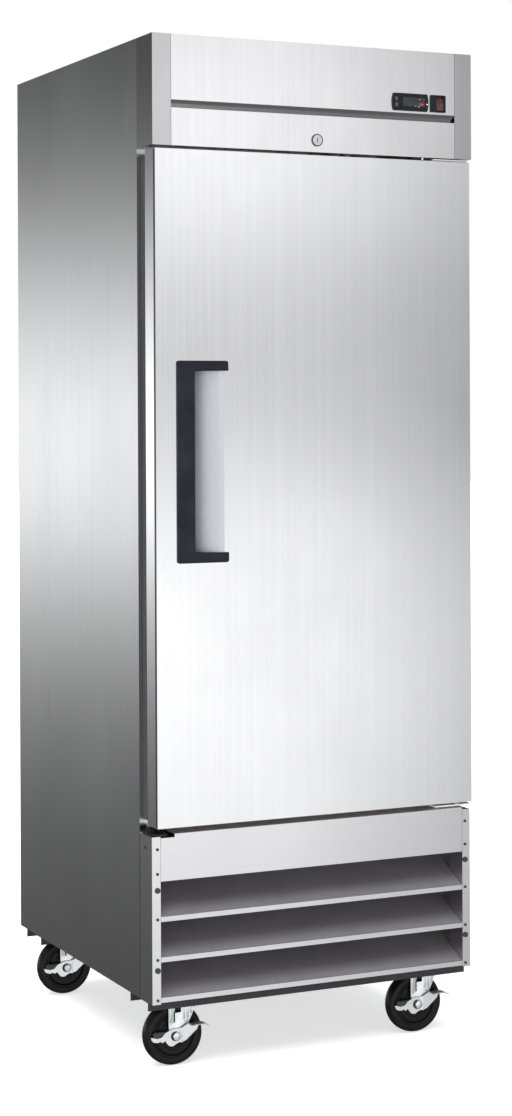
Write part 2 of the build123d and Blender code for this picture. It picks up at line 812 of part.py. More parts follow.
# Fascia: the plain panel above the louvres, notched at the left for the hinge hole cover.
louvre_half = post_inner - seam
fascia_return = 50.0
fascia_path = [
    (grille_front + fascia_return, fascia_top),
    (grille_front, fascia_top),
    (grille_front, fascia_bottom),
    (grille_front + 12, fascia_bottom),
]
with BuildPart() as grille_fascia:
    with BuildSketch(Plane.YZ.offset(-louvre_half)):
        Polygon(*fold(fascia_path, grille_sheet), align=None)
    extrude(amount=2 * louvre_half)
    block(
        -half, -louvre_half + cover_width - 3, grille_front - 1, body_front,
        fascia_top - 7, fascia_top + 1, mode=Mode.SUBTRACT,
    )
save(grille_fascia, "grille_fascia")

# Louvres: a narrow lip at the front and a blade that rises to the back.
louvre_rise = louvre_depth * tan(radians(louvre_slope))
with BuildPart() as grille_louvres:
    for level in louvre_levels:
        louvre_path = [
            (grille_front + louvre_depth, level + louvre_lip + louvre_rise),
            (grille_front, level + louvre_lip),
            (grille_front, level),
            (grille_front + 6, level),
        ]
        with BuildSketch(Plane.YZ.offset(-louvre_half)):
            Polygon(*fold(louvre_path, grille_sheet), align=None)
        extrude(amount=2 * louvre_half)
save(grille_louvres, "grille_louvres")

# ======== inside the cabinet ========

# Slotted standards on the side walls.
standard_bottom = inner_floor + 60.0
standard_slots = int((opening_top - standard_bottom - 70) / slot_pitch)
standard_length = standard_slots * slot_pitch
standard_sheet = 1.2
shelf_front = front + 140.0
standard_places = (shelf_front + 45.0, shelf_front + shelf_depth - 45.0)
slot_width = 10.0
slot_height = 3.4
with BuildPart() as shelf_standards:
    for side in (-1, 1):
        for place in standard_places:
            block(
                side * inner_half, side * (inner_half - standard_depth),
                place - standard_width / 2, place + standard_width / 2,
                standard_bottom, standard_bottom + standard_length,
            )
            block(
                side * inner_half, side * (inner_half - standard_depth + standard_sheet),
                place - standard_width / 2 + standard_sheet, place + standard_width / 2 - standard_sheet,
                standard_bottom, standard_bottom + standard_length, mode=Mode.SUBTRACT,
            )
    with BuildSketch(Plane.YZ.offset(-inner_half)):
        with Locations(*((place, standard_bottom + standard_length / 2) for place in standard_places)):
            with GridLocations(0, slot_pitch, 1, standard_slots):
                Rectangle(slot_width, slot_height)
    extrude(amount=2 * inner_half, mode=Mode.SUBTRACT)
save(shelf_standards, "shelf_standards")


def slot_level(level):
    # The slot nearest to a height above the interior floor.
    number = round((inner_floor + level - standard_bottom) / slot_pitch - 0.5)
    return standard_bottom + (number + 0.5) * slot_pitch


shelf_heights = [slot_level(level) + 3.0 for level in shelf_levels[:shelf_count]]

# Clips: a tongue in a slot and a ledge that carries the shelf.
clip_sheet = 2.4
clip_length = 14.0
clip_reach = 15.0
tongue_depth = 4.0
with BuildPart() as shelf_clips:
    for height in shelf_heights:
        for side in (-1, 1):
            for place in standard_places:
                face = inner_half - standard_depth
                block(
                    side * (face - clip_sheet), side * face, place - clip_length / 2, place + clip_length / 2,
                    height - 18, height,
                )
                block(
                    side * (face - clip_reach), side * (face - clip_sheet),
                    place - clip_length / 2, place + clip_length / 2, height - clip_sheet, height,
                )
                block(
                    side * face, side * (face + tongue_depth),
                    place - slot_width / 2 + 1, place + slot_width / 2 - 1,
                    height - 3.0 - slot_height / 2 + 0.5, height - 3.0 + slot_height / 2 - 0.5,
                )
save(shelf_clips, "shelf_clips")

# Wire shelf: a rod frame, rods across it, and wires from front to back on top, all welded.
shelf_half = inner_half - standard_depth - 4.0
frame_half = shelf_half - shelf_rod / 2
shelf_middle = shelf_front + shelf_depth / 2
frame_reach = shelf_depth / 2 - shelf_rod / 2
wire_count = 2 * int((frame_half - 8) / shelf_wire_pitch) + 1
weld = 1.0
with BuildPart() as shelf:
    for edge in (-1, 1):
        with BuildSketch(Plane.XZ.offset(-shelf_middle - frame_reach)):
            with Locations((edge * frame_half, shelf_rod / 2)):
                Circle(shelf_rod / 2)
        extrude(amount=2 * frame_reach)
    for place in (-frame_reach, -frame_reach / 3, frame_reach / 3, frame_reach):
        with BuildSketch(Plane.YZ.offset(-frame_half)):
            with Locations((shelf_middle + place, shelf_rod / 2)):
                Circle(shelf_rod / 2)
        extrude(amount=2 * frame_half)
    for x in (-frame_half, frame_half):
        with Locations(*((x, shelf_middle + y * frame_reach, shelf_rod / 2) for y in (-1, 1))):
            Sphere(shelf_rod / 2)
    with BuildSketch(Plane.XZ.offset(-shelf_middle - frame_reach)):
        with Locations((0, shelf_rod + shelf_wire / 2 - weld)):
            with GridLocations(shelf_wire_pitch, 0, wire_count, 1):
                Circle(shelf_wire / 2)
    extrude(amount=2 * frame_reach)

with BuildPart() as wire_shelves:
    with Locations(*((0, 0, height) for height in shelf_heights)):
        add(shelf.part)
save(wire_shelves, "wire_shelves")

# ---- evaporator, at the ceiling behind the header wall ----
cover_sheet = 1.2
evaporator_half = inner_half - 40.0
evaporator_front = upper_front + 8.0
evaporator_back = inner_back - 100.0
evaporator_bottom = opening_top + 20.0
evaporator_fan_y = evaporator_front + 125.0
evaporator_fan_diameter = 190.0
with BuildPart() as evaporator_cover:
    block(
        -evaporator_half, evaporator_half, evaporator_front, evaporator_back,
        evaporator_bottom, inner_ceiling,
    )
    block(
        -evaporator_half + cover_sheet, evaporator_half - cover_sheet,
        evaporator_front + cover_sheet, evaporator_back - cover_sheet,
        evaporator_bottom + cover_sheet, inner_ceiling, mode=Mode.SUBTRACT,
    )
    with BuildSketch(Plane.XY.offset(evaporator_bottom - 1)):
        with Locations((0, evaporator_fan_y)):
            Circle(evaporator_fan_diameter / 2 + 6)
        with Locations((0, evaporator_back - 45)):
            with GridLocations(90, 0, 5, 1):
                SlotOverall(70, 24)
    extrude(amount=cover_sheet + 2, mode=Mode.SUBTRACT)
save(evaporator_cover, "evaporator_cover")


def finned_coil(name, x0, x1, y0, y1, z0, z1, pitch):
    # Finned coil: a solid core with fins standing out at the front and the back.
    groove = (y1 - y0) / 4
    count = int((x1 - x0 - 30) / pitch)
    with BuildPart() as coil:
        block(x0, x1, y0, y1, z0, z1)
        for plane, depth in ((Plane.XZ.offset(-y0), -groove), (Plane.XZ.offset(-y1), groove)):
            with BuildSketch(plane):
                with Locations(((x0 + x1) / 2, (z0 + z1) / 2)):
                    with GridLocations(pitch, 0, count, 1):
                        Rectangle(pitch * 0.6, z1 - z0 - 16)
            extrude(amount=depth, mode=Mode.SUBTRACT)
    save(coil, name)


finned_coil(
    "evaporator_coil", -evaporator_half + 40, evaporator_half - 40,
    evaporator_fan_y + evaporator_fan_diameter / 2 + 30, evaporator_back - 90,
    evaporator_bottom + 20, inner_ceiling, 12.0,
)

shaft_diameter = 6.0
hub_height = 20.0
blade_sheet = 1.6
blade_pitch = 24.0
blade_count = 5


def fan(name, plane, diameter):
    # Axial fan, its hub bored for the motor shaft. The plane's origin is the middle of the hub.
    with BuildPart() as rotor:
        with BuildSketch(plane.offset(-hub_height / 2)):
            Circle(diameter * 0.16)
        extrude(amount=hub_height)
        for i in range(blade_count):
            blade_plane = Plane(plane.location * Rot(0, 0, i * 360 / blade_count) * Rot(blade_pitch, 0, 0))
            with BuildSketch(blade_plane.offset(-blade_sheet / 2)) as blade:
                with Locations((diameter * 0.29, 0)):
                    Rectangle(diameter * 0.34, diameter * 0.24)
                fillet(blade.vertices().group_by(Axis.X)[-1], radius=diameter * 0.08)
            extrude(amount=blade_sheet)
        with BuildSketch(plane.offset(-hub_height)):
            Circle(shaft_diameter / 2 + running_fit)
        extrude(amount=2 * hub_height, mode=Mode.SUBTRACT)
    save(rotor, name)


evaporator_fan_plane = Plane((0, evaporator_fan_y, evaporator_bottom + 32), x_dir=(1, 0, 0), z_dir=(0, 0, 1))
condenser_front = front + condenser_setback
condenser_back = condenser_front + condenser_thickness
condenser_left = -60.0
condenser_right = condenser_left + condenser_width
condenser_bottom = body_bottom + base_sheet + 12.0
condenser_top = condenser_bottom + condenser_height
condenser_fan_x = (condenser_left + condenser_right) / 2
condenser_fan_z = (condenser_bottom + condenser_top) / 2
condenser_fan_plane = Plane(
    (condenser_fan_x, condenser_back + 42, condenser_fan_z), x_dir=(1, 0, 0), z_dir=(0, 1, 0),
)
fan("evaporator_fan", evaporator_fan_plane, evaporator_fan_diameter)
fan("condenser_fan", condenser_fan_plane, condenser_fan_diameter)

# Fan motors: one hangs from the ceiling, one stands on the base, each with its shaft in the hub of its fan.
motor_diameter = 78.0
motor_length = 52.0
motor_gap = 6.0
bracket_width = 24.0
bracket_sheet = 3.0
with BuildPart() as fan_motors:
    for plane in (evaporator_fan_plane, condenser_fan_plane):
        with BuildSketch(plane.offset(hub_height / 2 + motor_gap)):
            Circle(motor_diameter / 2)
        extrude(amount=motor_length)
        with BuildSketch(plane.offset(-hub_height / 2)):
            Circle(shaft_diameter / 2)
        extrude(amount=hub_height + motor_gap)
    motor_end = evaporator_fan_plane.origin.Z + hub_height / 2 + motor_gap + motor_length
    block(
        -bracket_width / 2, bracket_width / 2,
        evaporator_fan_y - bracket_width / 2, evaporator_fan_y + bracket_width / 2,
        motor_end, inner_ceiling,
    )
    bracket_y = condenser_fan_plane.origin.Y + hub_height / 2 + motor_gap + motor_length
    block(
        condenser_fan_x - bracket_width, condenser_fan_x + bracket_width,
        bracket_y, bracket_y + bracket_sheet,
        body_bottom + base_sheet, condenser_fan_z + bracket_width,
    )
save(fan_motors, "fan_motors")

# Strip lamp under the evaporator cover, near the opening.
lamp_width = 320.0
lamp_depth = 26.0
lamp_height = 14.0
with BuildPart() as interior_lamp:
    block(
        -lamp_width / 2, lamp_width / 2, evaporator_front + 2, evaporator_front + 2 + lamp_depth,
        evaporator_bottom - lamp_height, evaporator_bottom,
    )
    fillet(interior_lamp.edges().filter_by(Axis.X).group_by(Axis.Z)[0], radius=4.0)
save(interior_lamp, "interior_lamp")

# ======== machine compartment ========

base_top = body_bottom + base_sheet
finned_coil(
    "condenser_coil", condenser_left, condenser_right, condenser_front, condenser_back,
    base_top, condenser_top, 10.0,
)

# Hermetic compressor on its feet, with the terminal box and two stubs for the tubes.
compressor_x = -190.0
compressor_y = back - 190.0
foot_height = 18.0
shell_bottom = base_top + foot_height + 3.0
shell_top = shell_bottom + compressor_height
stub_radius = 7.0
stub_y = compressor_y - compressor_diameter / 2 - 14.0
stub_levels = (shell_bottom + compressor_height * 0.35, shell_bottom + compressor_height * 0.62)
with BuildPart() as compressor:
    with BuildSketch(Plane.XY.offset(shell_bottom)):
        with Locations((compressor_x, compressor_y)):
            Circle(compressor_diameter / 2)
    extrude(amount=compressor_height)
    fillet(compressor.edges().group_by(Axis.Z)[-1], radius=48.0)
    fillet(compressor.edges().group_by(Axis.Z)[0], radius=22.0)
    block(
        compressor_x - 100, compressor_x + 100, compressor_y - 60, compressor_y + 60,
        shell_bottom - 3, shell_bottom + 3,
    )
    for dx in (-85, 85):
        for dy in (-45, 45):
            with BuildSketch(Plane.XY.offset(base_top)):
                with Locations((compressor_x + dx, compressor_y + dy)):
                    Circle(11.0)
            extrude(amount=foot_height)
    block(
        compressor_x + compressor_diameter / 2 - 12, compressor_x + compressor_diameter / 2 + 34,
        compressor_y - 32, compressor_y + 32, shell_bottom + 60, shell_bottom + 130,
    )
    for level in stub_levels:
        with BuildSketch(Plane.XZ.offset(-stub_y)):
            with Locations((compressor_x, level)):
                Circle(stub_radius)
        extrude(amount=-30)
save(compressor, "compressor")

# Tubes: discharge to the condenser, suction down from the floor pan, liquid up from the condenser.
tube_radius = 4.0
tube_bend = 11.0

discharge = [
    (compressor_x, stub_y, stub_levels[1]),
    (compressor_x, stub_y - 70, stub_levels[1]),
    (compressor_x, stub_y - 70, condenser_top + 24),
    (condenser_left + 20, stub_y - 70, condenser_top + 24),
    (condenser_left + 20, condenser_back - 20, condenser_top + 24),
    (condenser_left + 20, condenser_back - 20, condenser_top),
]
suction = [
    (compressor_x, stub_y, stub_levels[0]),
    (compressor_x, stub_y - 40, stub_levels[0]),
    (compressor_x - 90, stub_y - 40, stub_levels[0]),
    (compressor_x - 90, stub_y - 40, grille_top),
]
liquid = [
    (condenser_right - 20, condenser_back - 20, condenser_top),
    (condenser_right - 20, condenser_back - 20, condenser_top + 24),
    (condenser_right - 20, condenser_back + 90, condenser_top + 24),
    (condenser_right - 20, condenser_back + 90, grille_top),
]
with BuildPart() as refrigerant_tubing:
    for points in (discharge, suction, liquid):
        with BuildLine() as route:
            FilletPolyline(*points, radius=tube_bend)
        with BuildSketch(Plane(route.line @ 0, z_dir=route.line % 0)):
            Circle(tube_radius)
        sweep(path=route.line)
save(refrigerant_tubing, "refrigerant_tubing")

# Rear cover of the machine compartment: slotted, with a cutout for the power inlet.
inlet_x = 250.0
inlet_z = body_bottom + 75.0
inlet_width = 50.0
inlet_height = 28.0
cover_bottom = body_bottom + base_rim + seam
slot_rows = 12
vent_slot_pitch = 19.0
vent_slot_length = 130.0
with BuildPart() as rear_cover:
    block(-half + skin + seam, half - skin - seam, back - skin, back, cover_bottom, grille_top - seam)
    with BuildSketch(Plane.XZ.offset(-back - 1)):
        with Locations((-45, (cover_bottom + grille_top) / 2)):
            with GridLocations(vent_slot_length + 30, vent_slot_pitch, 3, slot_rows):
                SlotOverall(vent_slot_length, 8.0)
        with Locations((inlet_x, inlet_z)):
            Rectangle(inlet_width - 4 + 2 * fit, inlet_height - 4 + 2 * fit)
    extrude(amount=skin + 2, mode=Mode.SUBTRACT)
save(rear_cover, "rear_cover")

# Power inlet: a recessed appliance socket with three flat pins.
with BuildPart() as power_inlet:
    block(
        inlet_x - inlet_width / 2, inlet_x + inlet_width / 2, back - skin - 2.0, back - skin,
        inlet_z - inlet_height / 2, inlet_z + inlet_height / 2,
    )
    block(
        inlet_x - inlet_width / 2 + 2, inlet_x + inlet_width / 2 - 2, back - 26, back,
        inlet_z - inlet_height / 2 + 2, inlet_z + inlet_height / 2 - 2,
    )
    block(
        inlet_x - inlet_width / 2 + 5, inlet_x + inlet_width / 2 - 5, back - 20, back,
        inlet_z - inlet_height / 2 + 5, inlet_z + inlet_height / 2 - 5, mode=Mode.SUBTRACT,
    )
    for dx, dz in ((-8, -2.5), (0, 2.5), (8, -2.5)):
        block(
            inlet_x + dx - 1, inlet_x + dx + 1, back - 21, back - 6, inlet_z + dz - 2.5, inlet_z + dz + 2.5,
        )
save(power_inlet, "power_inlet")

# ======== casters ========

wheel_radius = wheel_diameter / 2
leg_inner = hub_width / 2 + fork_gap
leg_outer = leg_inner + fork_sheet
axle_radius = axle_diameter / 2
kingpin_radius = 5.0
upper_race = swivel_height - 2.5
caster_places = [
    (f"{end}_{side_name}", side * (half - caster_side_inset), y)
    for end, y in (("front", front_caster_y), ("rear", rear_caster_y))
    for side_name, side in (("left", -1), ("right", 1))
]

# Mounting plates, each with the fixed race and the kingpin of its swivel.
with BuildPart() as caster_plates:
    for name, kingpin_x, kingpin_y in caster_places:
        block(
            kingpin_x - plate_length / 2, kingpin_x + plate_length / 2,
            kingpin_y - plate_width / 2, kingpin_y + plate_width / 2, plate_bottom, plate_top,
        )
        for bottom, height, radius in (
            (plate_bottom - upper_race, upper_race, swivel_diameter / 2),
            (crown_bottom - fit - 3, plate_bottom - upper_race - crown_bottom + fit + 3, kingpin_radius),
            (crown_bottom - fit - 3, 3, kingpin_radius + 4),
        ):
            with BuildSketch(Plane.XY.offset(bottom)):
                with Locations((kingpin_x, kingpin_y)):
                    Circle(radius)
            extrude(amount=height)
save(caster_plates, "caster_plates")

for name, kingpin_x, kingpin_y in caster_places:
    axle_x = kingpin_x - caster_trail
    axle_plane = Plane((axle_x, kingpin_y, wheel_radius), x_dir=(1, 0, 0), z_dir=(0, -1, 0))

    # Fork: crown, lower race and two legs, and the axle bolt with its head and nut.
    with BuildPart() as fork:
        with BuildSketch(Plane.XY.offset(crown_bottom)):
            with Locations((kingpin_x, kingpin_y)):
                Circle(swivel_diameter / 2 + 4)
            with Locations(((axle_x - 16 + kingpin_x + 14) / 2, kingpin_y)):
                Rectangle(kingpin_x + 14 - axle_x + 16, 2 * leg_outer)
        extrude(amount=fork_sheet)
        with BuildSketch(Plane.XY.offset(crown_top)):
            with Locations((kingpin_x, kingpin_y)):
                Circle(swivel_diameter / 2 - 3)
        extrude(amount=swivel_height - upper_race - fit)
        for side in (-1, 1):
            with BuildSketch(axle_plane.offset(leg_inner if side > 0 else -leg_outer)):
                Circle(13.0)
                Polygon(
                    (-16, crown_bottom - wheel_radius), (-16, 18), (-12, 4), (12, -4), (40, 36),
                    (caster_trail + 27, crown_bottom - wheel_radius), align=None,
                )
                Circle(axle_radius + running_fit, mode=Mode.SUBTRACT)
                with Locations((4.5, 52)):
                    Rectangle(13, 12, mode=Mode.SUBTRACT)
            extrude(amount=fork_sheet)
        with BuildSketch(Plane.XY.offset(crown_bottom - 1)):
            with Locations((kingpin_x, kingpin_y)):
                Circle(kingpin_radius + running_fit)
        extrude(amount=swivel_height + fork_sheet + 2, mode=Mode.SUBTRACT)
        bolt_reach = leg_outer + fit + brake_sheet + fit
        with BuildSketch(axle_plane.offset(-leg_outer - 7)):
            Circle(axle_radius)
        extrude(amount=leg_outer + 7 + bolt_reach)
        for start, height in ((bolt_reach, 5.5), (-leg_outer - 6, 6.0)):
            with BuildSketch(axle_plane.offset(start)):
                RegularPolygon(9.2, 6)
            extrude(amount=height)
    save(fork, f"{name}_fork")

    # Wheel: a rubber tyre moulded on a dished hub.
    with BuildPart() as wheel:
        with BuildSketch(Plane.YZ.offset(axle_x)) as section:
            with BuildLine():
                rim = wheel_radius - 17.0
                Polyline(
                    (kingpin_y - hub_width / 2, wheel_radius + axle_radius + running_fit),
                    (kingpin_y - hub_width / 2, wheel_radius + 17),
                    (kingpin_y - wheel_width / 2 + 5, wheel_radius + 19),
                    (kingpin_y - wheel_width / 2 + 5, wheel_radius + rim - 4),
                    (kingpin_y - wheel_width / 2, wheel_radius + rim),
                    (kingpin_y - wheel_width / 2, wheel_diameter),
                    (kingpin_y + wheel_width / 2, wheel_diameter),
                    (kingpin_y + wheel_width / 2, wheel_radius + rim),
                    (kingpin_y + wheel_width / 2 - 5, wheel_radius + rim - 4),
                    (kingpin_y + wheel_width / 2 - 5, wheel_radius + 19),
                    (kingpin_y + hub_width / 2, wheel_radius + 17),
                    (kingpin_y + hub_width / 2, wheel_radius + axle_radius + running_fit),
                    close=True,
                )
            make_face()
            fillet(section.vertices().group_by(Axis.Y)[-1], radius=6.0)
        revolve(axis=Axis((axle_x, kingpin_y, wheel_radius), (0, 1, 0)))
    save(wheel, f"{name}_wheel")

    # Brake lever: turns on the axle bolt, with a toe at one end and a foot pedal at the other.
    with BuildPart() as brake:
        with BuildSketch(axle_plane.offset(leg_outer + fit)):
            Polygon(
                (-56, 4), (-52, -8), (-31, -11), (-24, -8), (-16, -19), (-6, -20), (5, -14), (17, -12),
                (45, 11), (47, 21), (26, 24), (13, 14), (-14, 13), (-28, 10), (-38, 6), align=None,
            )
            Circle(axle_radius + running_fit, mode=Mode.SUBTRACT)
        extrude(amount=brake_sheet)
        with BuildSketch(axle_plane.offset(leg_outer + fit)):
            with Locations((44, 22.6)):
                Rectangle(38, 2.6)
        extrude(amount=24)
        fillet(brake.edges().filter_by(Axis.Z).group_by(Axis.Y)[0], radius=6.0)
    save(brake, f"{name}_brake")
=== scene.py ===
import math

import bmesh
import bpy
from mathutils import Matrix, Vector


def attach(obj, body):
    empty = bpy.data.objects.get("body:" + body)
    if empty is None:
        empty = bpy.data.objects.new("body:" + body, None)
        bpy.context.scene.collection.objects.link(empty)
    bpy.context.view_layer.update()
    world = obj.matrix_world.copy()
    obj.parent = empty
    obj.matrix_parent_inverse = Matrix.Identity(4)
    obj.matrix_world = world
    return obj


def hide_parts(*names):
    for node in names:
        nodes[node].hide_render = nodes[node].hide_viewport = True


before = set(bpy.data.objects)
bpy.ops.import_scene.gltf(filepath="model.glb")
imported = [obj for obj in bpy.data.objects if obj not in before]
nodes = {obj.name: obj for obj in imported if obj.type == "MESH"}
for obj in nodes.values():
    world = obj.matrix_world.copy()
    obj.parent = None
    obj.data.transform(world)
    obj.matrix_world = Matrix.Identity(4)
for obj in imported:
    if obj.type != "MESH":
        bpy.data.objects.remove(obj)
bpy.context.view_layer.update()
casters = ("front_left", "front_right", "rear_left", "rear_right")
print("frame loaded:", len(nodes), "pieces")


def deselectAll():
    if bpy.context.mode != "OBJECT":
        bpy.ops.object.mode_set(mode="OBJECT")
    bpy.ops.object.select_all(action="DESELECT")


def pickOnly(piece):
    deselectAll()
    piece.select_set(True)
    bpy.context.view_layer.objects.active = piece


def newest(name):
    piece = bpy.context.active_object
    piece.name = name
    piece.data.name = name
    return piece


def addBlock(name, low, high):
    # a cube primitive sized to the box between two corners
    deselectAll()
    middle = [(a + b) / 2 for a, b in zip(low, high)]
    bpy.ops.mesh.primitive_cube_add(size=1, location=middle)
    piece = newest(name)
    piece.scale = [b - a for a, b in zip(low, high)]
    bpy.ops.object.transform_apply(location=True, rotation=True, scale=True)
    return piece


def addDisc(name, middle, radius, depth, axis="Y", sides=48):
    deselectAll()
    turn = {"X": (0, math.pi / 2, 0), "Y": (math.pi / 2, 0, 0), "Z": (0, 0, 0)}[axis]
    bpy.ops.mesh.primitive_cylinder_add(
        vertices=sides, radius=radius, depth=depth, location=middle, rotation=turn
    )
    piece = newest(name)
    bpy.ops.object.transform_apply(location=True, rotation=True, scale=True)
    return piece


def editFaces(piece, wanted):
    # goes into edit mode with only the faces that pass the test selected
    pickOnly(piece)
    bpy.ops.object.mode_set(mode="EDIT")
    bpy.ops.mesh.select_mode(type="FACE")
    bpy.ops.mesh.select_all(action="DESELECT")
    shape = bmesh.from_edit_mesh(piece.data)
    for face in shape.faces:
        face.select_set(bool(wanted(face)))
    bmesh.update_edit_mesh(piece.data)


def endEdit():
    bpy.ops.object.mode_set(mode="OBJECT")


def bevelAll(piece, width, segments=2, angle=35):
    pickOnly(piece)
    rounding = piece.modifiers.new("rounding", "BEVEL")
    rounding.width = width
    rounding.segments = segments
    rounding.limit_method = "ANGLE"
    rounding.angle_limit = math.radians(angle)
    bpy.ops.object.modifier_apply(modifier="rounding")


def outward(piece, smooth=35):
    # merges doubles, turns all faces out and smooths the shading between flat faces
    pickOnly(piece)
    bpy.ops.object.mode_set(mode="EDIT")
    bpy.ops.mesh.select_all(action="SELECT")
    bpy.ops.mesh.remove_doubles(threshold=0.00001)
    bpy.ops.mesh.normals_make_consistent(inside=False)
    bpy.ops.object.mode_set(mode="OBJECT")
    bpy.ops.object.shade_smooth_by_angle(angle=math.radians(smooth))


def copyPiece(piece, name, shift):
    twin = piece.copy()
    twin.data = piece.data.copy()
    twin.name = name
    twin.data.name = name
    bpy.context.scene.collection.objects.link(twin)
    twin.data.transform(Matrix.Translation(shift))
    return twin


def joinPieces(pieces, name):
    deselectAll()
    for piece in pieces:
        piece.select_set(True)
    bpy.context.view_layer.objects.active = pieces[0]
    bpy.ops.object.join()
    return newest(name)


def spinProfile(name, outline, middle, axis="Y", steps=96):
    # outline: (radius, along) points of a half section, spun round the axis through middle
    deselectAll()
    bpy.ops.mesh.primitive_plane_add(size=1, location=(0, 0, 0))
    piece = newest(name)
    bpy.ops.object.mode_set(mode="EDIT")
    shape = bmesh.from_edit_mesh(piece.data)
    bmesh.ops.delete(shape, geom=list(shape.verts), context="VERTS")
    points = []
    for radius, along in outline:
        spot = (radius, along, 0) if axis == "Y" else (radius, 0, along)
        points.append(shape.verts.new(Vector(middle) + Vector(spot)))
    for i, point in enumerate(points):
        shape.edges.new((point, points[(i + 1) % len(points)]))
    bmesh.update_edit_mesh(piece.data)
    bpy.ops.mesh.select_all(action="SELECT")
    direction = (0, 1, 0) if axis == "Y" else (0, 0, 1)
    bpy.ops.mesh.spin(steps=steps, angle=math.tau, center=middle, axis=direction)
    bpy.ops.object.mode_set(mode="OBJECT")
    outward(piece, 32)
    return piece


def extrudeOutline(name, outline, y0, y1):
    # a closed outline of (x, z) points, filled and extruded from y0 to y1
    deselectAll()
    bpy.ops.mesh.primitive_plane_add(size=1, location=(0, 0, 0))
    piece = newest(name)
    bpy.ops.object.mode_set(mode="EDIT")
    shape = bmesh.from_edit_mesh(piece.data)
    bmesh.ops.delete(shape, geom=list(shape.verts), context="VERTS")
    points = [shape.verts.new((x, y0, z)) for x, z in outline]
    shape.faces.new(points)
    bmesh.update_edit_mesh(piece.data)
    bpy.ops.mesh.select_all(action="SELECT")
    bpy.ops.mesh.extrude_region_move(TRANSFORM_OT_translate={"value": (0, y1 - y0, 0)})
    bpy.ops.object.mode_set(mode="OBJECT")
    return piece


def newMaterial(name):
    material = bpy.data.materials.new(name)
    material.use_nodes = True
    tree = material.node_tree
    shader = tree.nodes["Principled BSDF"]
    return material, tree, shader


def addNode(tree, kind, **values):
    made = tree.nodes.new(kind)
    for key, value in values.items():
        setattr(made, key, value)
    return made


def objectPattern(tree, scale, turn=(0, 0, 0)):
    spot = addNode(tree, "ShaderNodeTexCoord")
    mapping = addNode(tree, "ShaderNodeMapping")
    mapping.inputs["Scale"].default_value = scale
    mapping.inputs["Rotation"].default_value = turn
    tree.links.new(spot.outputs["Object"], mapping.inputs["Vector"])
    return mapping.outputs["Vector"]


def noiseOn(tree, vector, size, detail=3.0, roughness=0.6):
    noise = addNode(tree, "ShaderNodeTexNoise")
    noise.inputs["Scale"].default_value = size
    noise.inputs["Detail"].default_value = detail
    noise.inputs["Roughness"].default_value = roughness
    tree.links.new(vector, noise.inputs["Vector"])
    return noise.outputs["Fac"]


def rampOn(tree, source, stops):
    ramp = addNode(tree, "ShaderNodeValToRGB")
    ramp.color_ramp.elements[0].position = stops[0][0]
    ramp.color_ramp.elements[0].color = (*stops[0][1], 1)
    ramp.color_ramp.elements[1].position = stops[-1][0]
    ramp.color_ramp.elements[1].color = (*stops[-1][1], 1)
    for place, colour in stops[1:-1]:
        ramp.color_ramp.elements.new(place).color = (*colour, 1)
    tree.links.new(source, ramp.inputs["Fac"])
    return ramp.outputs["Color"]


def rangeOn(tree, source, low, high, fromLow=0.3, fromHigh=0.7):
    span = addNode(tree, "ShaderNodeMapRange")
    span.inputs["From Min"].default_value = fromLow
    span.inputs["From Max"].default_value = fromHigh
    span.inputs["To Min"].default_value = low
    span.inputs["To Max"].default_value = high
    tree.links.new(source, span.inputs["Value"])
    return span.outputs["Result"]


def bumpOn(tree, shader, heights, distance, strength=1.0):
    bump = addNode(tree, "ShaderNodeBump")
    bump.inputs["Distance"].default_value = distance
    bump.inputs["Strength"].default_value = strength
    tree.links.new(heights, bump.inputs["Height"])
    tree.links.new(bump.outputs["Normal"], shader.inputs["Normal"])


def mixColours(tree, factor, first, second, blend="MIX"):
    mix = addNode(tree, "ShaderNodeMix", data_type="RGBA", blend_type=blend)
    if hasattr(factor, "is_linked"):
        tree.links.new(factor, mix.inputs[0])
    else:
        mix.inputs[0].default_value = factor
    for source, socket in ((first, mix.inputs[6]), (second, mix.inputs[7])):
        if hasattr(source, "is_linked"):
            tree.links.new(source, socket)
        else:
            socket.default_value = (*source, 1)
    return mix.outputs[2]


def addSums(tree, first, second, amount):
    # first + second * amount
    sums = addNode(tree, "ShaderNodeMath", operation="MULTIPLY_ADD")
    tree.links.new(second, sums.inputs[0])
    sums.inputs[1].default_value = amount
    tree.links.new(first, sums.inputs[2])
    return sums.outputs[0]


def brushedSheet(name, tone, darker, roughness, grain,
                 grainSize=900.0, smudge=0.02, depth=0.00001):
    # satin sheet: streaks along the grain, faint cloudy smudges, a little uneven gloss
    material, tree, shader = newMaterial(name)
    along, across = 2.2, grainSize  # pattern scale with the grain and across it
    scale = {
        "X": (along, across, across),
        "Y": (across, along, across),
        "Z": (across, across, along),
    }[grain]
    streaks = noiseOn(tree, objectPattern(tree, scale), 1.0, 4.0, 0.65)
    wideScale = [value * 0.12 for value in scale]  # the same streaks, about eight times wider
    wide = noiseOn(tree, objectPattern(tree, wideScale), 1.0, 3.0, 0.5)
    clouds = noiseOn(tree, objectPattern(tree, (3.1, 3.1, 2.3)), 1.0, 5.0, 0.62)
    fine = rampOn(tree, streaks, [(0.25, darker), (0.75, tone)])
    broad = rampOn(tree, wide, [(0.3, (0.97, 0.97, 0.97)), (0.7, (1.0, 1.0, 1.0))])
    colour = mixColours(tree, 1.0, fine, broad, "MULTIPLY")
    tree.links.new(colour, shader.inputs["Base Color"])
    gloss = addSums(tree, rangeOn(tree, streaks, roughness - 0.03, roughness + 0.04),
                    rangeOn(tree, clouds, -1.0, 1.0, 0.35, 0.65), smudge)
    tree.links.new(gloss, shader.inputs["Roughness"])
    shader.inputs["Metallic"].default_value = 1.0
    bumpOn(tree, shader, addSums(tree, streaks, wide, 0.6), depth, 0.5)
    return material


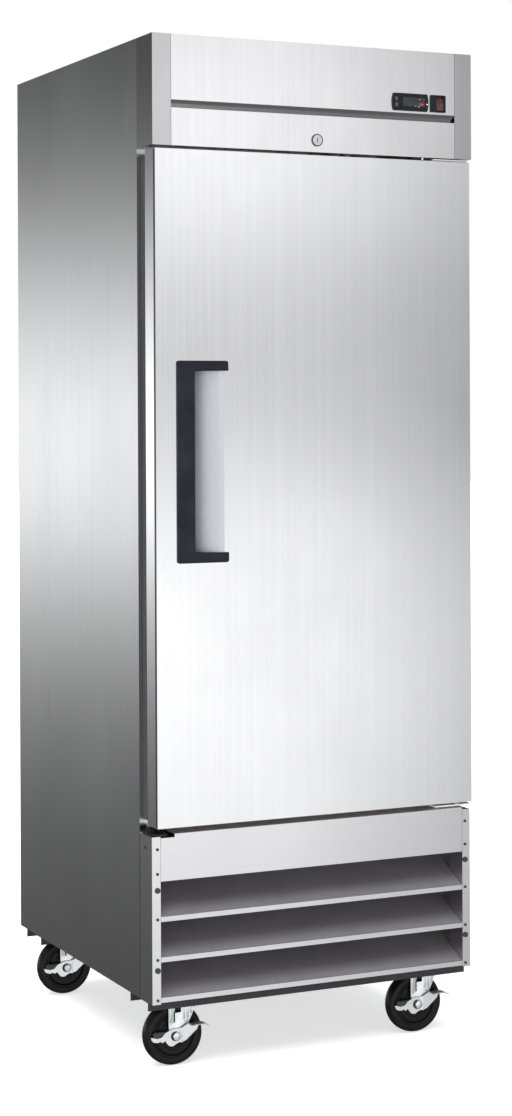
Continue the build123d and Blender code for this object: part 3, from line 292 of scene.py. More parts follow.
def mouldedPlastic(name, colour, lighter, roughness,
                   texture=1400.0, depth=0.00004, coat=0.0, gleam=0.5):
    # moulded plastic: fine spark-eroded texture, slightly polished where it is handled
    material, tree, shader = newMaterial(name)
    grit = noiseOn(tree, objectPattern(tree, (1, 1, 1)), texture, 2.0, 0.5)
    worn = noiseOn(tree, objectPattern(tree, (1, 1, 1)), 18.0, 5.0, 0.6)
    tones = rampOn(tree, worn, [(0.35, colour), (0.75, lighter)])
    tree.links.new(tones, shader.inputs["Base Color"])
    gloss = addSums(tree, rangeOn(tree, worn, roughness + 0.08, roughness - 0.06),
                    rangeOn(tree, grit, -1.0, 1.0), 0.03)
    tree.links.new(gloss, shader.inputs["Roughness"])
    shader.inputs["Specular IOR Level"].default_value = gleam
    shader.inputs["Coat Weight"].default_value = coat
    shader.inputs["Coat Roughness"].default_value = 0.12
    bumpOn(tree, shader, grit, depth, 0.6)
    return material


def coatedMetal(name, colour, lighter, roughness, metallic,
                spots=26.0, depth=0.00005, dustTone=None):
    # plated or painted steel: orange peel, cloudy plating, faint dust or spotting
    material, tree, shader = newMaterial(name)
    peel = noiseOn(tree, objectPattern(tree, (1, 1, 1)), 420.0, 3.0, 0.5)
    clouds = noiseOn(tree, objectPattern(tree, (1, 1, 1)), spots, 6.0, 0.68)
    base = rampOn(tree, clouds, [(0.32, colour), (0.68, lighter)])
    if dustTone:
        mottle = noiseOn(tree, objectPattern(tree, (1, 1, 1)), 7.0, 8.0, 0.75)
        base = mixColours(tree, rangeOn(tree, mottle, 0.0, 0.5, 0.5, 0.75), base, dustTone)
    tree.links.new(base, shader.inputs["Base Color"])
    gloss = addSums(tree, rangeOn(tree, clouds, roughness - 0.06, roughness + 0.1),
                    rangeOn(tree, peel, -1.0, 1.0), 0.03)
    tree.links.new(gloss, shader.inputs["Roughness"])
    shader.inputs["Metallic"].default_value = metallic
    bumpOn(tree, shader, peel, depth, 0.5)
    return material


def softRubber(name, colour, lighter, roughness=0.62):
    # matt rubber: fine grain, with a cloudy grey bloom
    material, tree, shader = newMaterial(name)
    grain = noiseOn(tree, objectPattern(tree, (1, 1, 1)), 900.0, 3.0, 0.6)
    bloom = noiseOn(tree, objectPattern(tree, (1, 1, 1)), 30.0, 6.0, 0.7)
    tones = rampOn(tree, bloom, [(0.3, colour), (0.8, lighter)])
    tree.links.new(tones, shader.inputs["Base Color"])
    gloss = rangeOn(tree, bloom, roughness - 0.1, roughness + 0.12)
    tree.links.new(gloss, shader.inputs["Roughness"])
    shader.inputs["Specular IOR Level"].default_value = 0.30
    bumpOn(tree, shader, addSums(tree, grain, bloom, 0.5), 0.00008, 0.5)
    return material


def dress(names, material):
    for name in names:
        piece = nodes[name]
        for slot in piece.material_slots:
            slot.material = material
        if not piece.material_slots:
            piece.data.materials.append(material)


def finishPiece(piece, material, body, stands=None):
    # stands: the CAD nodes that the piece takes the place of
    piece.data.materials.clear()
    piece.data.materials.append(material)
    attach(piece, body)
    if stands:
        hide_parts(*stands)


# tones of the stainless sheets: tone and darker are the two ends of the brushed streaks
sheetTones = {
    "door": {
        "tone": (0.92, 0.922, 0.928), "darker": (0.89, 0.892, 0.898),
        "roughness": 0.15, "grain": "Z",
    },
    "header": {
        "tone": (0.84, 0.835, 0.845), "darker": (0.81, 0.805, 0.815),
        "roughness": 0.13, "grain": "Z",
    },
    "cap": {
        "tone": (0.61, 0.605, 0.62), "darker": (0.57, 0.565, 0.58),
        "roughness": 0.16, "grain": "Z",
    },
    "side": {
        "tone": (0.72, 0.725, 0.73), "darker": (0.68, 0.685, 0.69),
        "roughness": 0.20, "grain": "Z",
    },
    "grille": {
        "tone": (0.83, 0.83, 0.85), "darker": (0.80, 0.80, 0.82),
        "roughness": 0.16, "grain": "X",
    },
    "liner": {
        "tone": (0.80, 0.81, 0.82), "darker": (0.72, 0.73, 0.74),
        "roughness": 0.36, "grain": "Z",
    },
}
doorSteel = brushedSheet("doorSteel", **sheetTones["door"])
headerSteel = brushedSheet("headerSteel", **sheetTones["header"])
capSteel = brushedSheet("capSteel", **sheetTones["cap"])
sideSteel = brushedSheet("sideSteel", **sheetTones["side"])
grilleSteel = brushedSheet("grilleSteel", **sheetTones["grille"])
linerSteel = brushedSheet("linerSteel", **sheetTones["liner"])

# other metals: two colours and a roughness, then share of metal and spots, or grain
handleSteel = coatedMetal(
    "handleSteel", (0.72, 0.75, 0.81), (0.82, 0.85, 0.90),
    0.42, 0.75, 160.0,
)
hingeSteel = coatedMetal("hingeSteel", (0.86, 0.85, 0.84), (0.95, 0.94, 0.93), 0.36, 0.45, 80.0)
shelfSteel = brushedSheet("shelfSteel", (0.70, 0.70, 0.71), (0.62, 0.62, 0.63), 0.34, "Z", 1200.0)
panPrimer = coatedMetal("panPrimer", (0.74, 0.66, 0.64), (0.84, 0.77, 0.75), 0.55, 0.1, 30.0)
galvanised = coatedMetal("galvanised", (0.46, 0.47, 0.48), (0.60, 0.61, 0.62), 0.42, 1.0, 60.0)
zincPlate = coatedMetal(
    "zincPlate", (0.84, 0.89, 0.91), (0.92, 0.96, 0.97),
    0.22, 0.85, 30.0, 0.00002,
)
brakeSteel = coatedMetal("brakeSteel", (0.42, 0.49, 0.58), (0.60, 0.67, 0.75), 0.30, 0.85, 50.0)
blackPaint = coatedMetal("blackPaint", (0.018, 0.018, 0.02), (0.03, 0.03, 0.033), 0.42, 0.0, 30.0)
motorPaint = coatedMetal(
    "motorPaint", (0.02, 0.02, 0.022), (0.035, 0.035, 0.04),
    0.36, 0.0, 22.0, 0.0001, (0.16, 0.15, 0.14),
)
shelfCoating = coatedMetal(
    "shelfCoating", (0.55, 0.56, 0.57), (0.63, 0.64, 0.65),
    0.38, 0.0, 45.0,
)
finMetal = brushedSheet("finMetal", (0.72, 0.73, 0.74), (0.52, 0.53, 0.54), 0.36, "Z", 600.0)
copperTube = coatedMetal("copperTube", (0.50, 0.22, 0.12), (0.72, 0.38, 0.24), 0.30, 1.0, 90.0)
lockChrome = coatedMetal(
    "lockChrome", (0.66, 0.67, 0.69), (0.78, 0.79, 0.80),
    0.16, 1.0, 120.0, 0.00001,
)

# plastics: two colours, roughness, size of the texture
handleBlack = mouldedPlastic(
    "handleBlack", (0.009, 0.010, 0.016), (0.016, 0.018, 0.028),
    0.50, gleam=0.3,
)
controlBlack = mouldedPlastic(
    "controlBlack", (0.006, 0.007, 0.010), (0.014, 0.016, 0.022),
    0.30, 900.0, 0.00001, 0.0, 0.25,
)
keyGrey = mouldedPlastic(
    "keyGrey", (0.035, 0.042, 0.052), (0.10, 0.115, 0.13),
    0.4, 260.0, gleam=0.3,
)
fanBlack = mouldedPlastic("fanBlack", (0.016, 0.016, 0.018), (0.05, 0.048, 0.046), 0.5)
breakerGrey = mouldedPlastic("breakerGrey", (0.10, 0.105, 0.11), (0.15, 0.155, 0.16), 0.5)
foamCream = mouldedPlastic(
    "foamCream", (0.70, 0.60, 0.36), (0.80, 0.71, 0.48),
    0.8, 300.0, 0.0004,
)
nylonWhite = mouldedPlastic("nylonWhite", (0.70, 0.69, 0.62), (0.80, 0.79, 0.74), 0.45)
lampFrost = mouldedPlastic("lampFrost", (0.80, 0.80, 0.77), (0.88, 0.88, 0.86), 0.4)

gasketRubber = softRubber("gasketRubber", (0.050, 0.049, 0.053), (0.085, 0.083, 0.089))
tyreRubber = softRubber("tyreRubber", (0.003, 0.003, 0.003), (0.010, 0.009, 0.008), 0.36)
bumperRubber = softRubber("bumperRubber", (0.030, 0.030, 0.034), (0.075, 0.075, 0.08))
smokedGlass = mouldedPlastic(
    "smokedGlass", (0.006, 0.007, 0.010), (0.030, 0.034, 0.042),
    0.14, 300.0, 0.000004, 0.3,
)
lampRed = mouldedPlastic("lampRed", (0.55, 0.02, 0.015), (0.85, 0.05, 0.03), 0.3)
dotWhite = mouldedPlastic("dotWhite", (0.75, 0.77, 0.80), (0.90, 0.91, 0.92), 0.4)
coverBlack = mouldedPlastic(
    "coverBlack", (0.016, 0.015, 0.014), (0.028, 0.026, 0.025),
    0.62, gleam=0.18,
)
darkSteel = coatedMetal("darkSteel", (0.030, 0.030, 0.034), (0.070, 0.070, 0.076), 0.4, 0.6, 60.0)
louvreSteel = brushedSheet("louvreSteel", (0.88, 0.88, 0.90), (0.84, 0.84, 0.86), 0.22, "X")


def dullBeyond(material, axis, edge, tone, roughness):
    # past the edge the sheet turns matt and barely metallic, in a flat tone with cloudy mottling;
    # on the louvres that tone is painted shade
    tree = material.node_tree
    shader = tree.nodes["Principled BSDF"]
    spot = addNode(tree, "ShaderNodeSeparateXYZ")
    tree.links.new(objectPattern(tree, (1, 1, 1)), spot.inputs[0])
    fade, metalShare = 0.0012, 0.25
    behind = rangeOn(tree, spot.outputs[axis], 0.0, 1.0, edge, edge + fade)
    mottle = noiseOn(tree, objectPattern(tree, (1, 1, 1)), 14.0, 6.0, 0.65)
    # the flat tone past the edge, which is painted shade on the louvres
    paintedTone = rampOn(tree, mottle, [(0.3, [value * 0.86 for value in tone]), (0.7, tone)])
    sheetColour = shader.inputs["Base Color"].links[0].from_socket
    tree.links.new(mixColours(tree, behind, sheetColour, paintedTone), shader.inputs["Base Color"])
    for socket, value in (("Roughness", roughness), ("Metallic", metalShare)):
        linked = shader.inputs[socket].links
        before = linked[0].from_socket if linked else shader.inputs[socket].default_value
        mix = addNode(tree, "ShaderNodeMix", data_type="FLOAT")
        tree.links.new(behind, mix.inputs[0])
        if linked:
            tree.links.new(before, mix.inputs[2])
        else:
            mix.inputs[2].default_value = before
        mix.inputs[3].default_value = value
        tree.links.new(mix.outputs[0], shader.inputs[socket])


# behind its bright front lip a louvre is dull and dark grey, which is painted shade; the folded
# top of the fascia is dull too, in a pale matt tone
dullSettings = {
    "louvre": {"axis": "Y", "edge": -0.3788, "tone": (0.30, 0.285, 0.31), "roughness": 0.66},
    "fascia": {"axis": "Z", "edge": 0.4788, "tone": (0.74, 0.69, 0.69), "roughness": 0.60},
}
fasciaSteel = brushedSheet("fasciaSteel", **sheetTones["grille"])
dullBeyond(louvreSteel, **dullSettings["louvre"])
dullBeyond(fasciaSteel, **dullSettings["fascia"])

# clear red plastic of the rocker
rockerRed, rockerTree, rockerShader = newMaterial("rockerRed")
cloudy = noiseOn(rockerTree, objectPattern(rockerTree, (1, 1, 1)), 160.0, 4.0, 0.6)
rockerTree.links.new(
    rampOn(rockerTree, cloudy, [(0.3, (0.045, 0.014, 0.020)), (0.7, (0.100, 0.034, 0.044))]),
    rockerShader.inputs["Base Color"],
)
rockerTree.links.new(rangeOn(rockerTree, cloudy, 0.18, 0.3), rockerShader.inputs["Roughness"])
rockerShader.inputs["Coat Weight"].default_value = 0.6
rockerShader.inputs["Coat Roughness"].default_value = 0.08
bumpOn(rockerTree, rockerShader, cloudy, 0.00002, 0.4)

dress(("door_skin",), doorSteel)
dress(("header_panel",), headerSteel)
dress(("header_end_caps",), capSteel)
dress(("left_side_panel", "right_side_panel", "top_panel"), sideSteel)
dress(("grille_posts",), grilleSteel)
dress(("grille_fascia",), fasciaSteel)
dress(("grille_louvres",), louvreSteel)
dress(("inner_liner", "door_liner"), linerSteel)
dress(("handle_plate",), handleSteel)
dress(("handle_frame",), handleBlack)
dress(("top_hinge_plate", "bottom_hinge_plate"), hingeSteel)
dress(("back_panel", "base_frame", "rear_cover"), galvanised)
dress(("floor_pan",), panPrimer)
dress(("caster_rails",), blackPaint)
dress(("hinge_hole_cover",), coverBlack)
dress(("grille_fasteners",), bumperRubber)
dress(("fan_motors", "compressor"), motorPaint)
dress(("wire_shelves",), shelfCoating)
dress(("shelf_standards", "shelf_clips"), shelfSteel)
dress(("evaporator_cover", "evaporator_coil", "condenser_coil"), finMetal)
dress(("refrigerant_tubing",), copperTube)
dress(("lock_barrel", "lock_plug"), lockChrome)
dress(("thermostat_body", "switch_housing", "power_inlet"), controlBlack)
dress(("thermostat_set_key", "thermostat_arrow_key"), keyGrey)
dress(("switch_rocker",), rockerRed)
dress(("evaporator_fan", "condenser_fan"), fanBlack)
dress(("breaker_frame",), breakerGrey)
dress(("cabinet_insulation", "door_insulation"), foamCream)
dress(("hinge_bushings",), nylonWhite)
dress(("interior_lamp",), lampFrost)
dress(("door_gasket",), gasketRubber)
dress(("caster_plates", *(place + "_fork" for place in casters)), zincPlate)
dress([place + "_wheel" for place in casters], tyreRubber)
dress([place + "_brake" for place in casters], zincPlate)
print("materials on the frame")

# casters: wheel, fork and lever are modelled once at the front left and copied to the others
casterSettings = {
    "kingpins": {
        "front_left": (-0.2785, -0.308),
        "front_right": (0.2785, -0.308),
        "rear_left": (-0.2785, 0.317),
        "rear_right": (0.2785, 0.317),
    },
    "trail": 0.014,  # kingpin to axle
    "wheelRadius": 0.0625,
}
kingX, kingY = casterSettings["kingpins"]["front_left"]
axleX = kingX - casterSettings["trail"]
wheelUp = casterSettings["wheelRadius"]
axlePlace = (axleX, kingY, wheelUp)


def aroundAxle(outline):
    # (x, z) points measured from the axle
    return [(axleX + x, wheelUp + z) for x, z in outline]


def blockAtAxle(name, low, high):
    # a block between two corners measured from the axle
    corners = [[a + b for a, b in zip(axlePlace, corner)] for corner in (low, high)]
    return addBlock(name, *corners)


# half section of the wheel, as (radius, along the axle): hub, rings and tread
tyreSettings = {
    "section": [
        (0.00505, -0.0175), (0.0125, -0.0175), (0.0150, -0.0168), (0.0170, -0.0150),
        (0.0190, -0.0122), (0.0250, -0.0112), (0.0260, -0.0124), (0.0292, -0.0124),
        (0.0304, -0.0110), (0.0360, -0.0104), (0.0395, -0.0108), (0.0418, -0.0130),
        (0.0430, -0.0156), (0.0448, -0.0160), (0.0460, -0.0148), (0.0470, -0.0148),
        (0.0484, -0.0158), (0.0515, -0.0160), (0.0548, -0.0156), (0.0582, -0.0142),
        (0.0606, -0.0116), (0.0619, -0.0080), (0.0625, -0.0035),
    ],
}
tyreSection = tyreSettings["section"]
otherHalf = [(radius, -along) for radius, along in reversed(tyreSection)]
firstWheel = spinProfile("front_left_tyre", tyreSection + otherHalf, axlePlace)

# fork: two pressed legs with ribs, a crown with the race on it, and the axle with its ends
forkSettings = {
    "legInner": 0.0185,
    "legOuter": 0.0215,
    "legOutline": [
        (-0.0160, 0.1290), (-0.0160, 0.0805), (-0.0135, 0.0660), (-0.0105, 0.0555),
        (-0.0040, 0.0505), (0.0060, 0.0515), (0.0130, 0.0590), (0.0230, 0.0760),
        (0.0330, 0.0960), (0.0465, 0.1290),
    ],
    "window": ((-0.0020, 0.1085), (0.0110, 0.1205)),
    "slit": ((-0.0042, 0.0890), (-0.0020, 0.1105)),
    "cutMargin": 0.01,
    "legEdge": 0.0006,
    "ribs": (
        # start, width and lower end
        (-0.0145, 0.0042, 0.0890), (0.0150, 0.0046, 0.0940), (0.0225, 0.0046, 0.0960),
        (0.0300, 0.0040, 0.1040), (0.0365, 0.0036, 0.1160),
    ),
    "ribFace": 0.0233,
    "ribBack": 0.0205,
    "ribTop": 0.1275,
    "ribEdge": 0.0011,
    "crown": (0.1290, 0.1320),
    "crownBehind": 0.0160,
    "crownAhead": 0.0270,
    "race": {"radius": 0.026, "depth": 0.0024, "axis": "Z", "sides": 64},
    "raceUp": 0.1331,
    "axle": {"radius": 0.0049, "depth": 0.0510},
    "axleSet": -0.0005,
    "cap": [
        (0.0, -0.0303), (0.0060, -0.0302), (0.0078, -0.0296), (0.0086, -0.0284),
        (0.0086, -0.0251), (0.0, -0.0251),
    ],
    "nut": {"radius": 0.0090, "depth": 0.0060, "axis": "Y", "sides": 6},
    "nutOut": 0.0250,
}


def legOf(name, y0, y1):
    outline = [(axleX + x, z) for x, z in forkSettings["legOutline"]]
    leg = extrudeOutline(name, outline, y0, y1)
    outward(leg)
    margin = forkSettings["cutMargin"]
    for (lowX, lowZ), (highX, highZ) in (forkSettings["window"], forkSettings["slit"]):
        cutter = addBlock(
            "cutter", (axleX + lowX, y0 - margin, lowZ), (axleX + highX, y1 + margin, highZ)
        )
        pickOnly(leg)
        cut = leg.modifiers.new("cut", "BOOLEAN")
        cut.operation = "DIFFERENCE"
        cut.solver = "EXACT"
        cut.object = cutter
        bpy.ops.object.modifier_apply(modifier="cut")
        bpy.data.objects.remove(cutter, do_unlink=True)
    bevelAll(leg, forkSettings["legEdge"], 2)
    return leg


legInner, legOuter = forkSettings["legInner"], forkSettings["legOuter"]
forkParts = [
    legOf("frontLeg", kingY - legOuter, kingY - legInner),
    legOf("rearLeg", kingY + legInner, kingY + legOuter),
]
for start, width, low in forkSettings["ribs"]:
    rib = addBlock(
        "legRib", (axleX + start, kingY - forkSettings["ribFace"], low),
        (axleX + start + width, kingY - forkSettings["ribBack"], forkSettings["ribTop"]),
    )
    bevelAll(rib, forkSettings["ribEdge"], 3)
    forkParts.append(rib)
crownLow, crownHigh = forkSettings["crown"]
crown = addBlock(
    "crown", (axleX - forkSettings["crownBehind"], kingY - legOuter, crownLow),
    (kingX + forkSettings["crownAhead"], kingY + legOuter, crownHigh),
)
bevelAll(crown, 0.0011, 3)
race = addDisc("race", (kingX, kingY, forkSettings["raceUp"]), **forkSettings["race"])
bevelAll(race, 0.0006, 2)
axle = addDisc("axle", (axleX, kingY + forkSettings["axleSet"], wheelUp), **forkSettings["axle"])
boltCap = spinProfile("boltCap", forkSettings["cap"], axlePlace, steps=48)
axleNut = addDisc(
    "axleNut", (axleX, kingY + forkSettings["nutOut"], wheelUp), **forkSettings["nut"]
)
bevelAll(axleNut, 0.0008, 2)
firstFork = joinPieces(
    forkParts + [crown, race, axle, boltCap, axleNut], "front_left_forkPressing"
)
outward(firstFork, 30)

# lever: a toe behind the axle, a hub, and an arm that steps forward towards the pedal
leverSettings = {
    "toeBack": -0.0218,
    "toeFace": -0.0248,
    "toe": [
        (-0.0560, 0.0030), (-0.0550, -0.0030), (-0.0510, -0.0075), (-0.0430, -0.0100),
        (-0.0350, -0.0085), (-0.0300, -0.0118), (-0.0255, -0.0080), (-0.0190, -0.0165),
        (-0.0150, -0.0195), (-0.0075, -0.0205), (-0.0020, -0.0170), (0.0060, -0.0135),
        (0.0060, 0.0150), (-0.0040, 0.0160), (-0.0150, 0.0125), (-0.0250, 0.0085),
        (-0.0320, 0.0005), (-0.0420, -0.0010),
    ],
    "armBack": -0.0252,
    "armFace": -0.0282,
    "arm": [
        (0.0105, -0.0125), (0.0190, -0.0105), (0.0440, 0.0100), (0.0470, 0.0170),
        (0.0455, 0.0215), (0.0250, 0.0240), (0.0105, 0.0165),
    ],
    "stepLow": (0.0045, -0.0280, -0.0130),
    "stepHigh": (0.0120, -0.0222, 0.0155),
    "edge": 0.0009,
    "ring": [
        (0.0052, -0.0250), (0.0105, -0.0250), (0.0125, -0.0246), (0.0125, -0.0236),
        (0.0052, -0.0236),
    ],
}
toePlate = extrudeOutline(
    "toePlate", aroundAxle(leverSettings["toe"]),
    kingY + leverSettings["toeFace"], kingY + leverSettings["toeBack"],
)
armPlate = extrudeOutline(
    "armPlate", aroundAxle(leverSettings["arm"]),
    kingY + leverSettings["armFace"], kingY + leverSettings["armBack"],
)
joggle = blockAtAxle("joggle", leverSettings["stepLow"], leverSettings["stepHigh"])
middleX = axleX + (leverSettings["stepLow"][0] + leverSettings["stepHigh"][0]) / 2
middleY = kingY + (leverSettings["stepLow"][1] + leverSettings["stepHigh"][1]) / 2
pickOnly(joggle)
bpy.ops.object.mode_set(mode="EDIT")
shape = bmesh.from_edit_mesh(joggle.data)
for point in shape.verts:
    # the step slopes from the toe's plane to the arm's plane
    toeSide, outer = point.co.x < middleX, point.co.y < middleY
    if toeSide and outer:
        point.co.y = kingY + leverSettings["toeFace"]
    if not toeSide and not outer:
        point.co.y = kingY + leverSettings["armBack"]
bmesh.update_edit_mesh(joggle.data)
endEdit()
for plate in (toePlate, armPlate):
    outward(plate)
    bevelAll(plate, leverSettings["edge"], 3)
hubRing = spinProfile("hubRing", leverSettings["ring"], axlePlace, steps=48)
firstLever = joinPieces([toePlate, armPlate, joggle, hubRing], "front_left_lever")
outward(firstLever, 30)

# pedal: a thin tread with a slight crown, that curls down at its end
pedalSettings = {
    "low": (0.0250, -0.0455, 0.0213),
    "high": (0.0630, -0.0255, 0.0231),
    "cuts": 11,
    "crown": 0.0014,
    "curlFrom": 0.70,  # share of the length
    "curl": 0.045,
}
pedalBlade = blockAtAxle("front_left_pedal", pedalSettings["low"], pedalSettings["high"])
pickOnly(pedalBlade)
bpy.ops.object.mode_set(mode="EDIT")
bpy.ops.mesh.select_all(action="SELECT")
bpy.ops.mesh.subdivide(number_cuts=pedalSettings["cuts"])
endEdit()
pedalStart = axleX + pedalSettings["low"][0]
pedalLength = pedalSettings["high"][0] - pedalSettings["low"][0]
for point in pedalBlade.data.vertices:
    reach = (point.co.x - pedalStart) / pedalLength
    past = max(0.0, reach - pedalSettings["curlFrom"])
    point.co.z += pedalSettings["crown"] * math.sin(reach * math.pi)
    point.co.z -= pedalSettings["curl"] * past ** 2
outward(pedalBlade, 40)

# shoe: the dark block that the toe presses on the tyre
shoeSettings = {
    "low": (-0.0500, -0.0236, -0.0030),
    "high": (-0.0245, -0.0196, 0.0098),
    "inset": 0.0012,
    "rise": (0.0010, 0, 0.0008),
    "edge": 0.0008,
}
brakeShoe = blockAtAxle("front_left_shoe", shoeSettings["low"], shoeSettings["high"])
editFaces(brakeShoe, lambda face: face.normal.z > 0.9)
bpy.ops.mesh.inset(thickness=shoeSettings["inset"], depth=0.0)
bpy.ops.mesh.extrude_region_move(TRANSFORM_OT_translate={"value": shoeSettings["rise"]})
endEdit()
bevelAll(brakeShoe, shoeSettings["edge"], 2)

# painted shade: a dark disc just behind the bolt cap, shifted to one side so that it shows as a
# dark crescent beside the bolt
hubShadeSettings = {"behind": 0.0030, "out": 0.0250, "radius": 0.0098, "depth": 0.0006}
hubShade = addDisc(
    "front_left_hubShade",
    (axleX - hubShadeSettings["behind"], kingY - hubShadeSettings["out"], wheelUp),
    hubShadeSettings["radius"], hubShadeSettings["depth"],
)
bevelAll(hubShade, 0.0002, 2)

for place in casters:
    placeX, placeY = casterSettings["kingpins"][place]
    shift = (placeX - kingX, placeY - kingY, 0.0)
    for first, part, material, body, stands in (
        (firstWheel, "tyre", tyreRubber, "wheel", [place + "_wheel"]),
        (firstFork, "forkPressing", zincPlate, "fork", [place + "_fork"]),
        (firstLever, "lever", zincPlate, "brake", [place + "_brake"]),
        (pedalBlade, "pedal", brakeSteel, "brake", None),
        (brakeShoe, "shoe", bumperRubber, "brake", None),
        (hubShade, "hubShade", darkSteel, "brake", None),
    ):
        atFirst = place == "front_left"
        piece = first if atFirst else copyPiece(first, place + "_" + part, shift)
        finishPiece(piece, material, place + "_" + body, stands)
print("casters modelled")

# thermostat: display window, lamp and dots, measured from the middle of its face
controlSettings = {
    "middle": (0.2174, 1.9630),
    "face": -0.4020,
    "window": (-0.0190, 0.0330, -0.0095, 0.0105),  # left, right, low, high
    "lamp": (0.0205, 0.0295, -0.0055, -0.0020),
    "dots": (
        # x, z and radius
        (0.0387, -0.0030, 0.0016), (0.0114, -0.0082, 0.0007), (0.0190, -0.0088, 0.0010),
        (0.0205, 0.0062, 0.0008),
    ),
}
midX, midZ = controlSettings["middle"]
controlFace = controlSettings["face"]


def onControl(name, sides, out, sunk):
    # a block on the thermostat's face, from out in front of it to sunk behind it
    left, right, low, high = sides
    return addBlock(name, (midX + left, controlFace - out, midZ + low),
                    (midX + right, controlFace + sunk, midZ + high))


displayWindow = onControl("displayWindow", controlSettings["window"], 0.0006, 0.0005)
bevelAll(displayWindow, 0.0004, 2)
finishPiece(displayWindow, smokedGlass, "cabinet")
redLamp = onControl("statusLamp", controlSettings["lamp"], 0.0009, -0.0003)
bevelAll(redLamp, 0.00028, 2)
finishPiece(redLamp, lampRed, "cabinet")
dots = []
for dotX, dotZ, radius in controlSettings["dots"]:
    middle = (midX + dotX, controlFace - 0.0005, midZ + dotZ)
    dots.append(addDisc("dot", middle, radius, 0.0010, sides=20))
    bevelAll(dots[-1], 0.0002, 2)
panelDots = joinPieces(dots, "panelDots")
finishPiece(panelDots, dotWhite, "cabinet")
print("controls modelled")

# lock: the shaded rim round its flange
lockSettings = {
    "middle": (0.0, -0.4000, 1.8740),
    "rim": [
        (0.0104, 0.0), (0.0108, -0.0012), (0.0120, -0.0012), (0.0127, -0.0002),
        (0.0127, 0.0004), (0.0104, 0.0004),
    ],
}
lockRim = spinProfile("lockRim", lockSettings["rim"], lockSettings["middle"], steps=64)
finishPiece(lockRim, darkSteel, "cabinet")
print("lock modelled")

# gap above the door: catch block with its screw, and the two-part latch clip
gapSettings = {
    "front": -0.3965,
    "low": 1.8447,
    "catch": (0.2230, 0.2690, 0.018, 1.8493),  # left, right, depth, top
    "clips": ((0.0612, 0.0705, 0.015, 1.8493), (0.0860, 0.1132, 0.015, 1.8481)),
    "screw": (0.2468, 1.8466),
    "screwRadius": 0.0022,
}
gapFront = gapSettings["front"]


def inGap(name, left, right, depth, top):
    return addBlock(name, (left, gapFront, gapSettings["low"]), (right, gapFront + depth, top))


catchBlock = inGap("hingeCatch", *gapSettings["catch"])
bevelAll(catchBlock, 0.0008, 2)
finishPiece(catchBlock, handleBlack, "cabinet")
screwX, screwZ = gapSettings["screw"]
catchScrew = addDisc(
    "catchScrew", (screwX, gapFront - 0.0006, screwZ), gapSettings["screwRadius"], 0.0016, sides=32
)
bevelAll(catchScrew, 0.0004, 2)
finishPiece(catchScrew, dotWhite, "cabinet")
clipParts = [inGap("clip", *sides) for sides in gapSettings["clips"]]
for piece in clipParts:
    bevelAll(piece, 0.0007, 2)
latchClip = joinPieces(clipParts, "latchClip")
finishPiece(latchClip, darkSteel, "cabinet")

# closing block of the spare hinge place, behind the fascia, with a shallow tray in its face
wellSettings = {
    "low": (-0.3500, -0.3215, 0.4400),
    "high": (-0.2850, -0.3168, 0.4775),
    "rim": 0.0040,
    "sink": (0, 0.0012, 0),
}
hingeWell = addBlock("hingeWell", wellSettings["low"], wellSettings["high"])
editFaces(hingeWell, lambda face: face.normal.y < -0.9)
bpy.ops.mesh.inset(thickness=wellSettings["rim"], depth=0.0)
bpy.ops.mesh.extrude_region_move(TRANSFORM_OT_translate={"value": wellSettings["sink"]})
endEdit()
bevelAll(hingeWell, 0.0006, 2)
finishPiece(hingeWell, coverBlack, "cabinet")

# dark lines: painted shade along the fold at the edge of the door, and the dark joint of the
# grille post
foldSettings = {
    "doorFoldShade": ((-0.3598, -0.3972, 0.4965), (-0.3592, -0.3890, 1.8415), "door"),
    "postSeam": ((-0.36453, -0.3185, 0.1480), (-0.36393, -0.3140, 0.4740), "cabinet"),
}
for name, (low, high, body) in foldSettings.items():
    fold = addBlock(name, low, high)
    bevelAll(fold, 0.0002, 2)
    finishPiece(fold, darkSteel, body)
print("folds modelled")

# the floor glows a little, so that it stays pale under the piece
floorSettings = {
    "size": 60.0,
    "colour": (0.93, 0.93, 0.93),
    "darker": (0.925, 0.925, 0.925),
    "roughness": 0.9,
    "glow": 0.62,
    "gleam": 0.1,
}
deselectAll()
bpy.ops.mesh.primitive_plane_add(size=floorSettings["size"], location=(0, 0, 0))
floor = newest("studioFloor")
floorPaint, floorTree, floorShader = newMaterial("floorPaint")
floorNoise = noiseOn(floorTree, objectPattern(floorTree, (1, 1, 1)), 0.8, 2.0, 0.5)
floorStops = [(0.3, floorSettings["darker"]), (0.7, floorSettings["colour"])]
floorTree.links.new(
    rampOn(floorTree, floorNoise, floorStops), floorShader.inputs["Base Color"]
)
floorShader.inputs["Roughness"].default_value = floorSettings["roughness"]
floorShader.inputs["Emission Color"].default_value = (1, 1, 1, 1)
floorShader.inputs["Emission Strength"].default_value = floorSettings["glow"]
floorShader.inputs["Specular IOR Level"].default_value = floorSettings["gleam"]
floor.data.materials.append(floorPaint)
floor.visible_glossy = False

# soft daylight from above, for the floor and the upper edges
skyLight = {"strength": 2.75, "softness": 55.0, "tilt": (12.0, -14.0, 0.0)}
lamp = bpy.data.lights.new("skyLight", "SUN")
lamp.energy = skyLight["strength"]
lamp.angle = math.radians(skyLight["softness"])
holder = bpy.data.objects.new("skyLight", lamp)
holder.rotation_euler = [math.radians(value) for value in skyLight["tilt"]]
holder.visible_glossy = False
bpy.context.scene.collection.objects.link(holder)

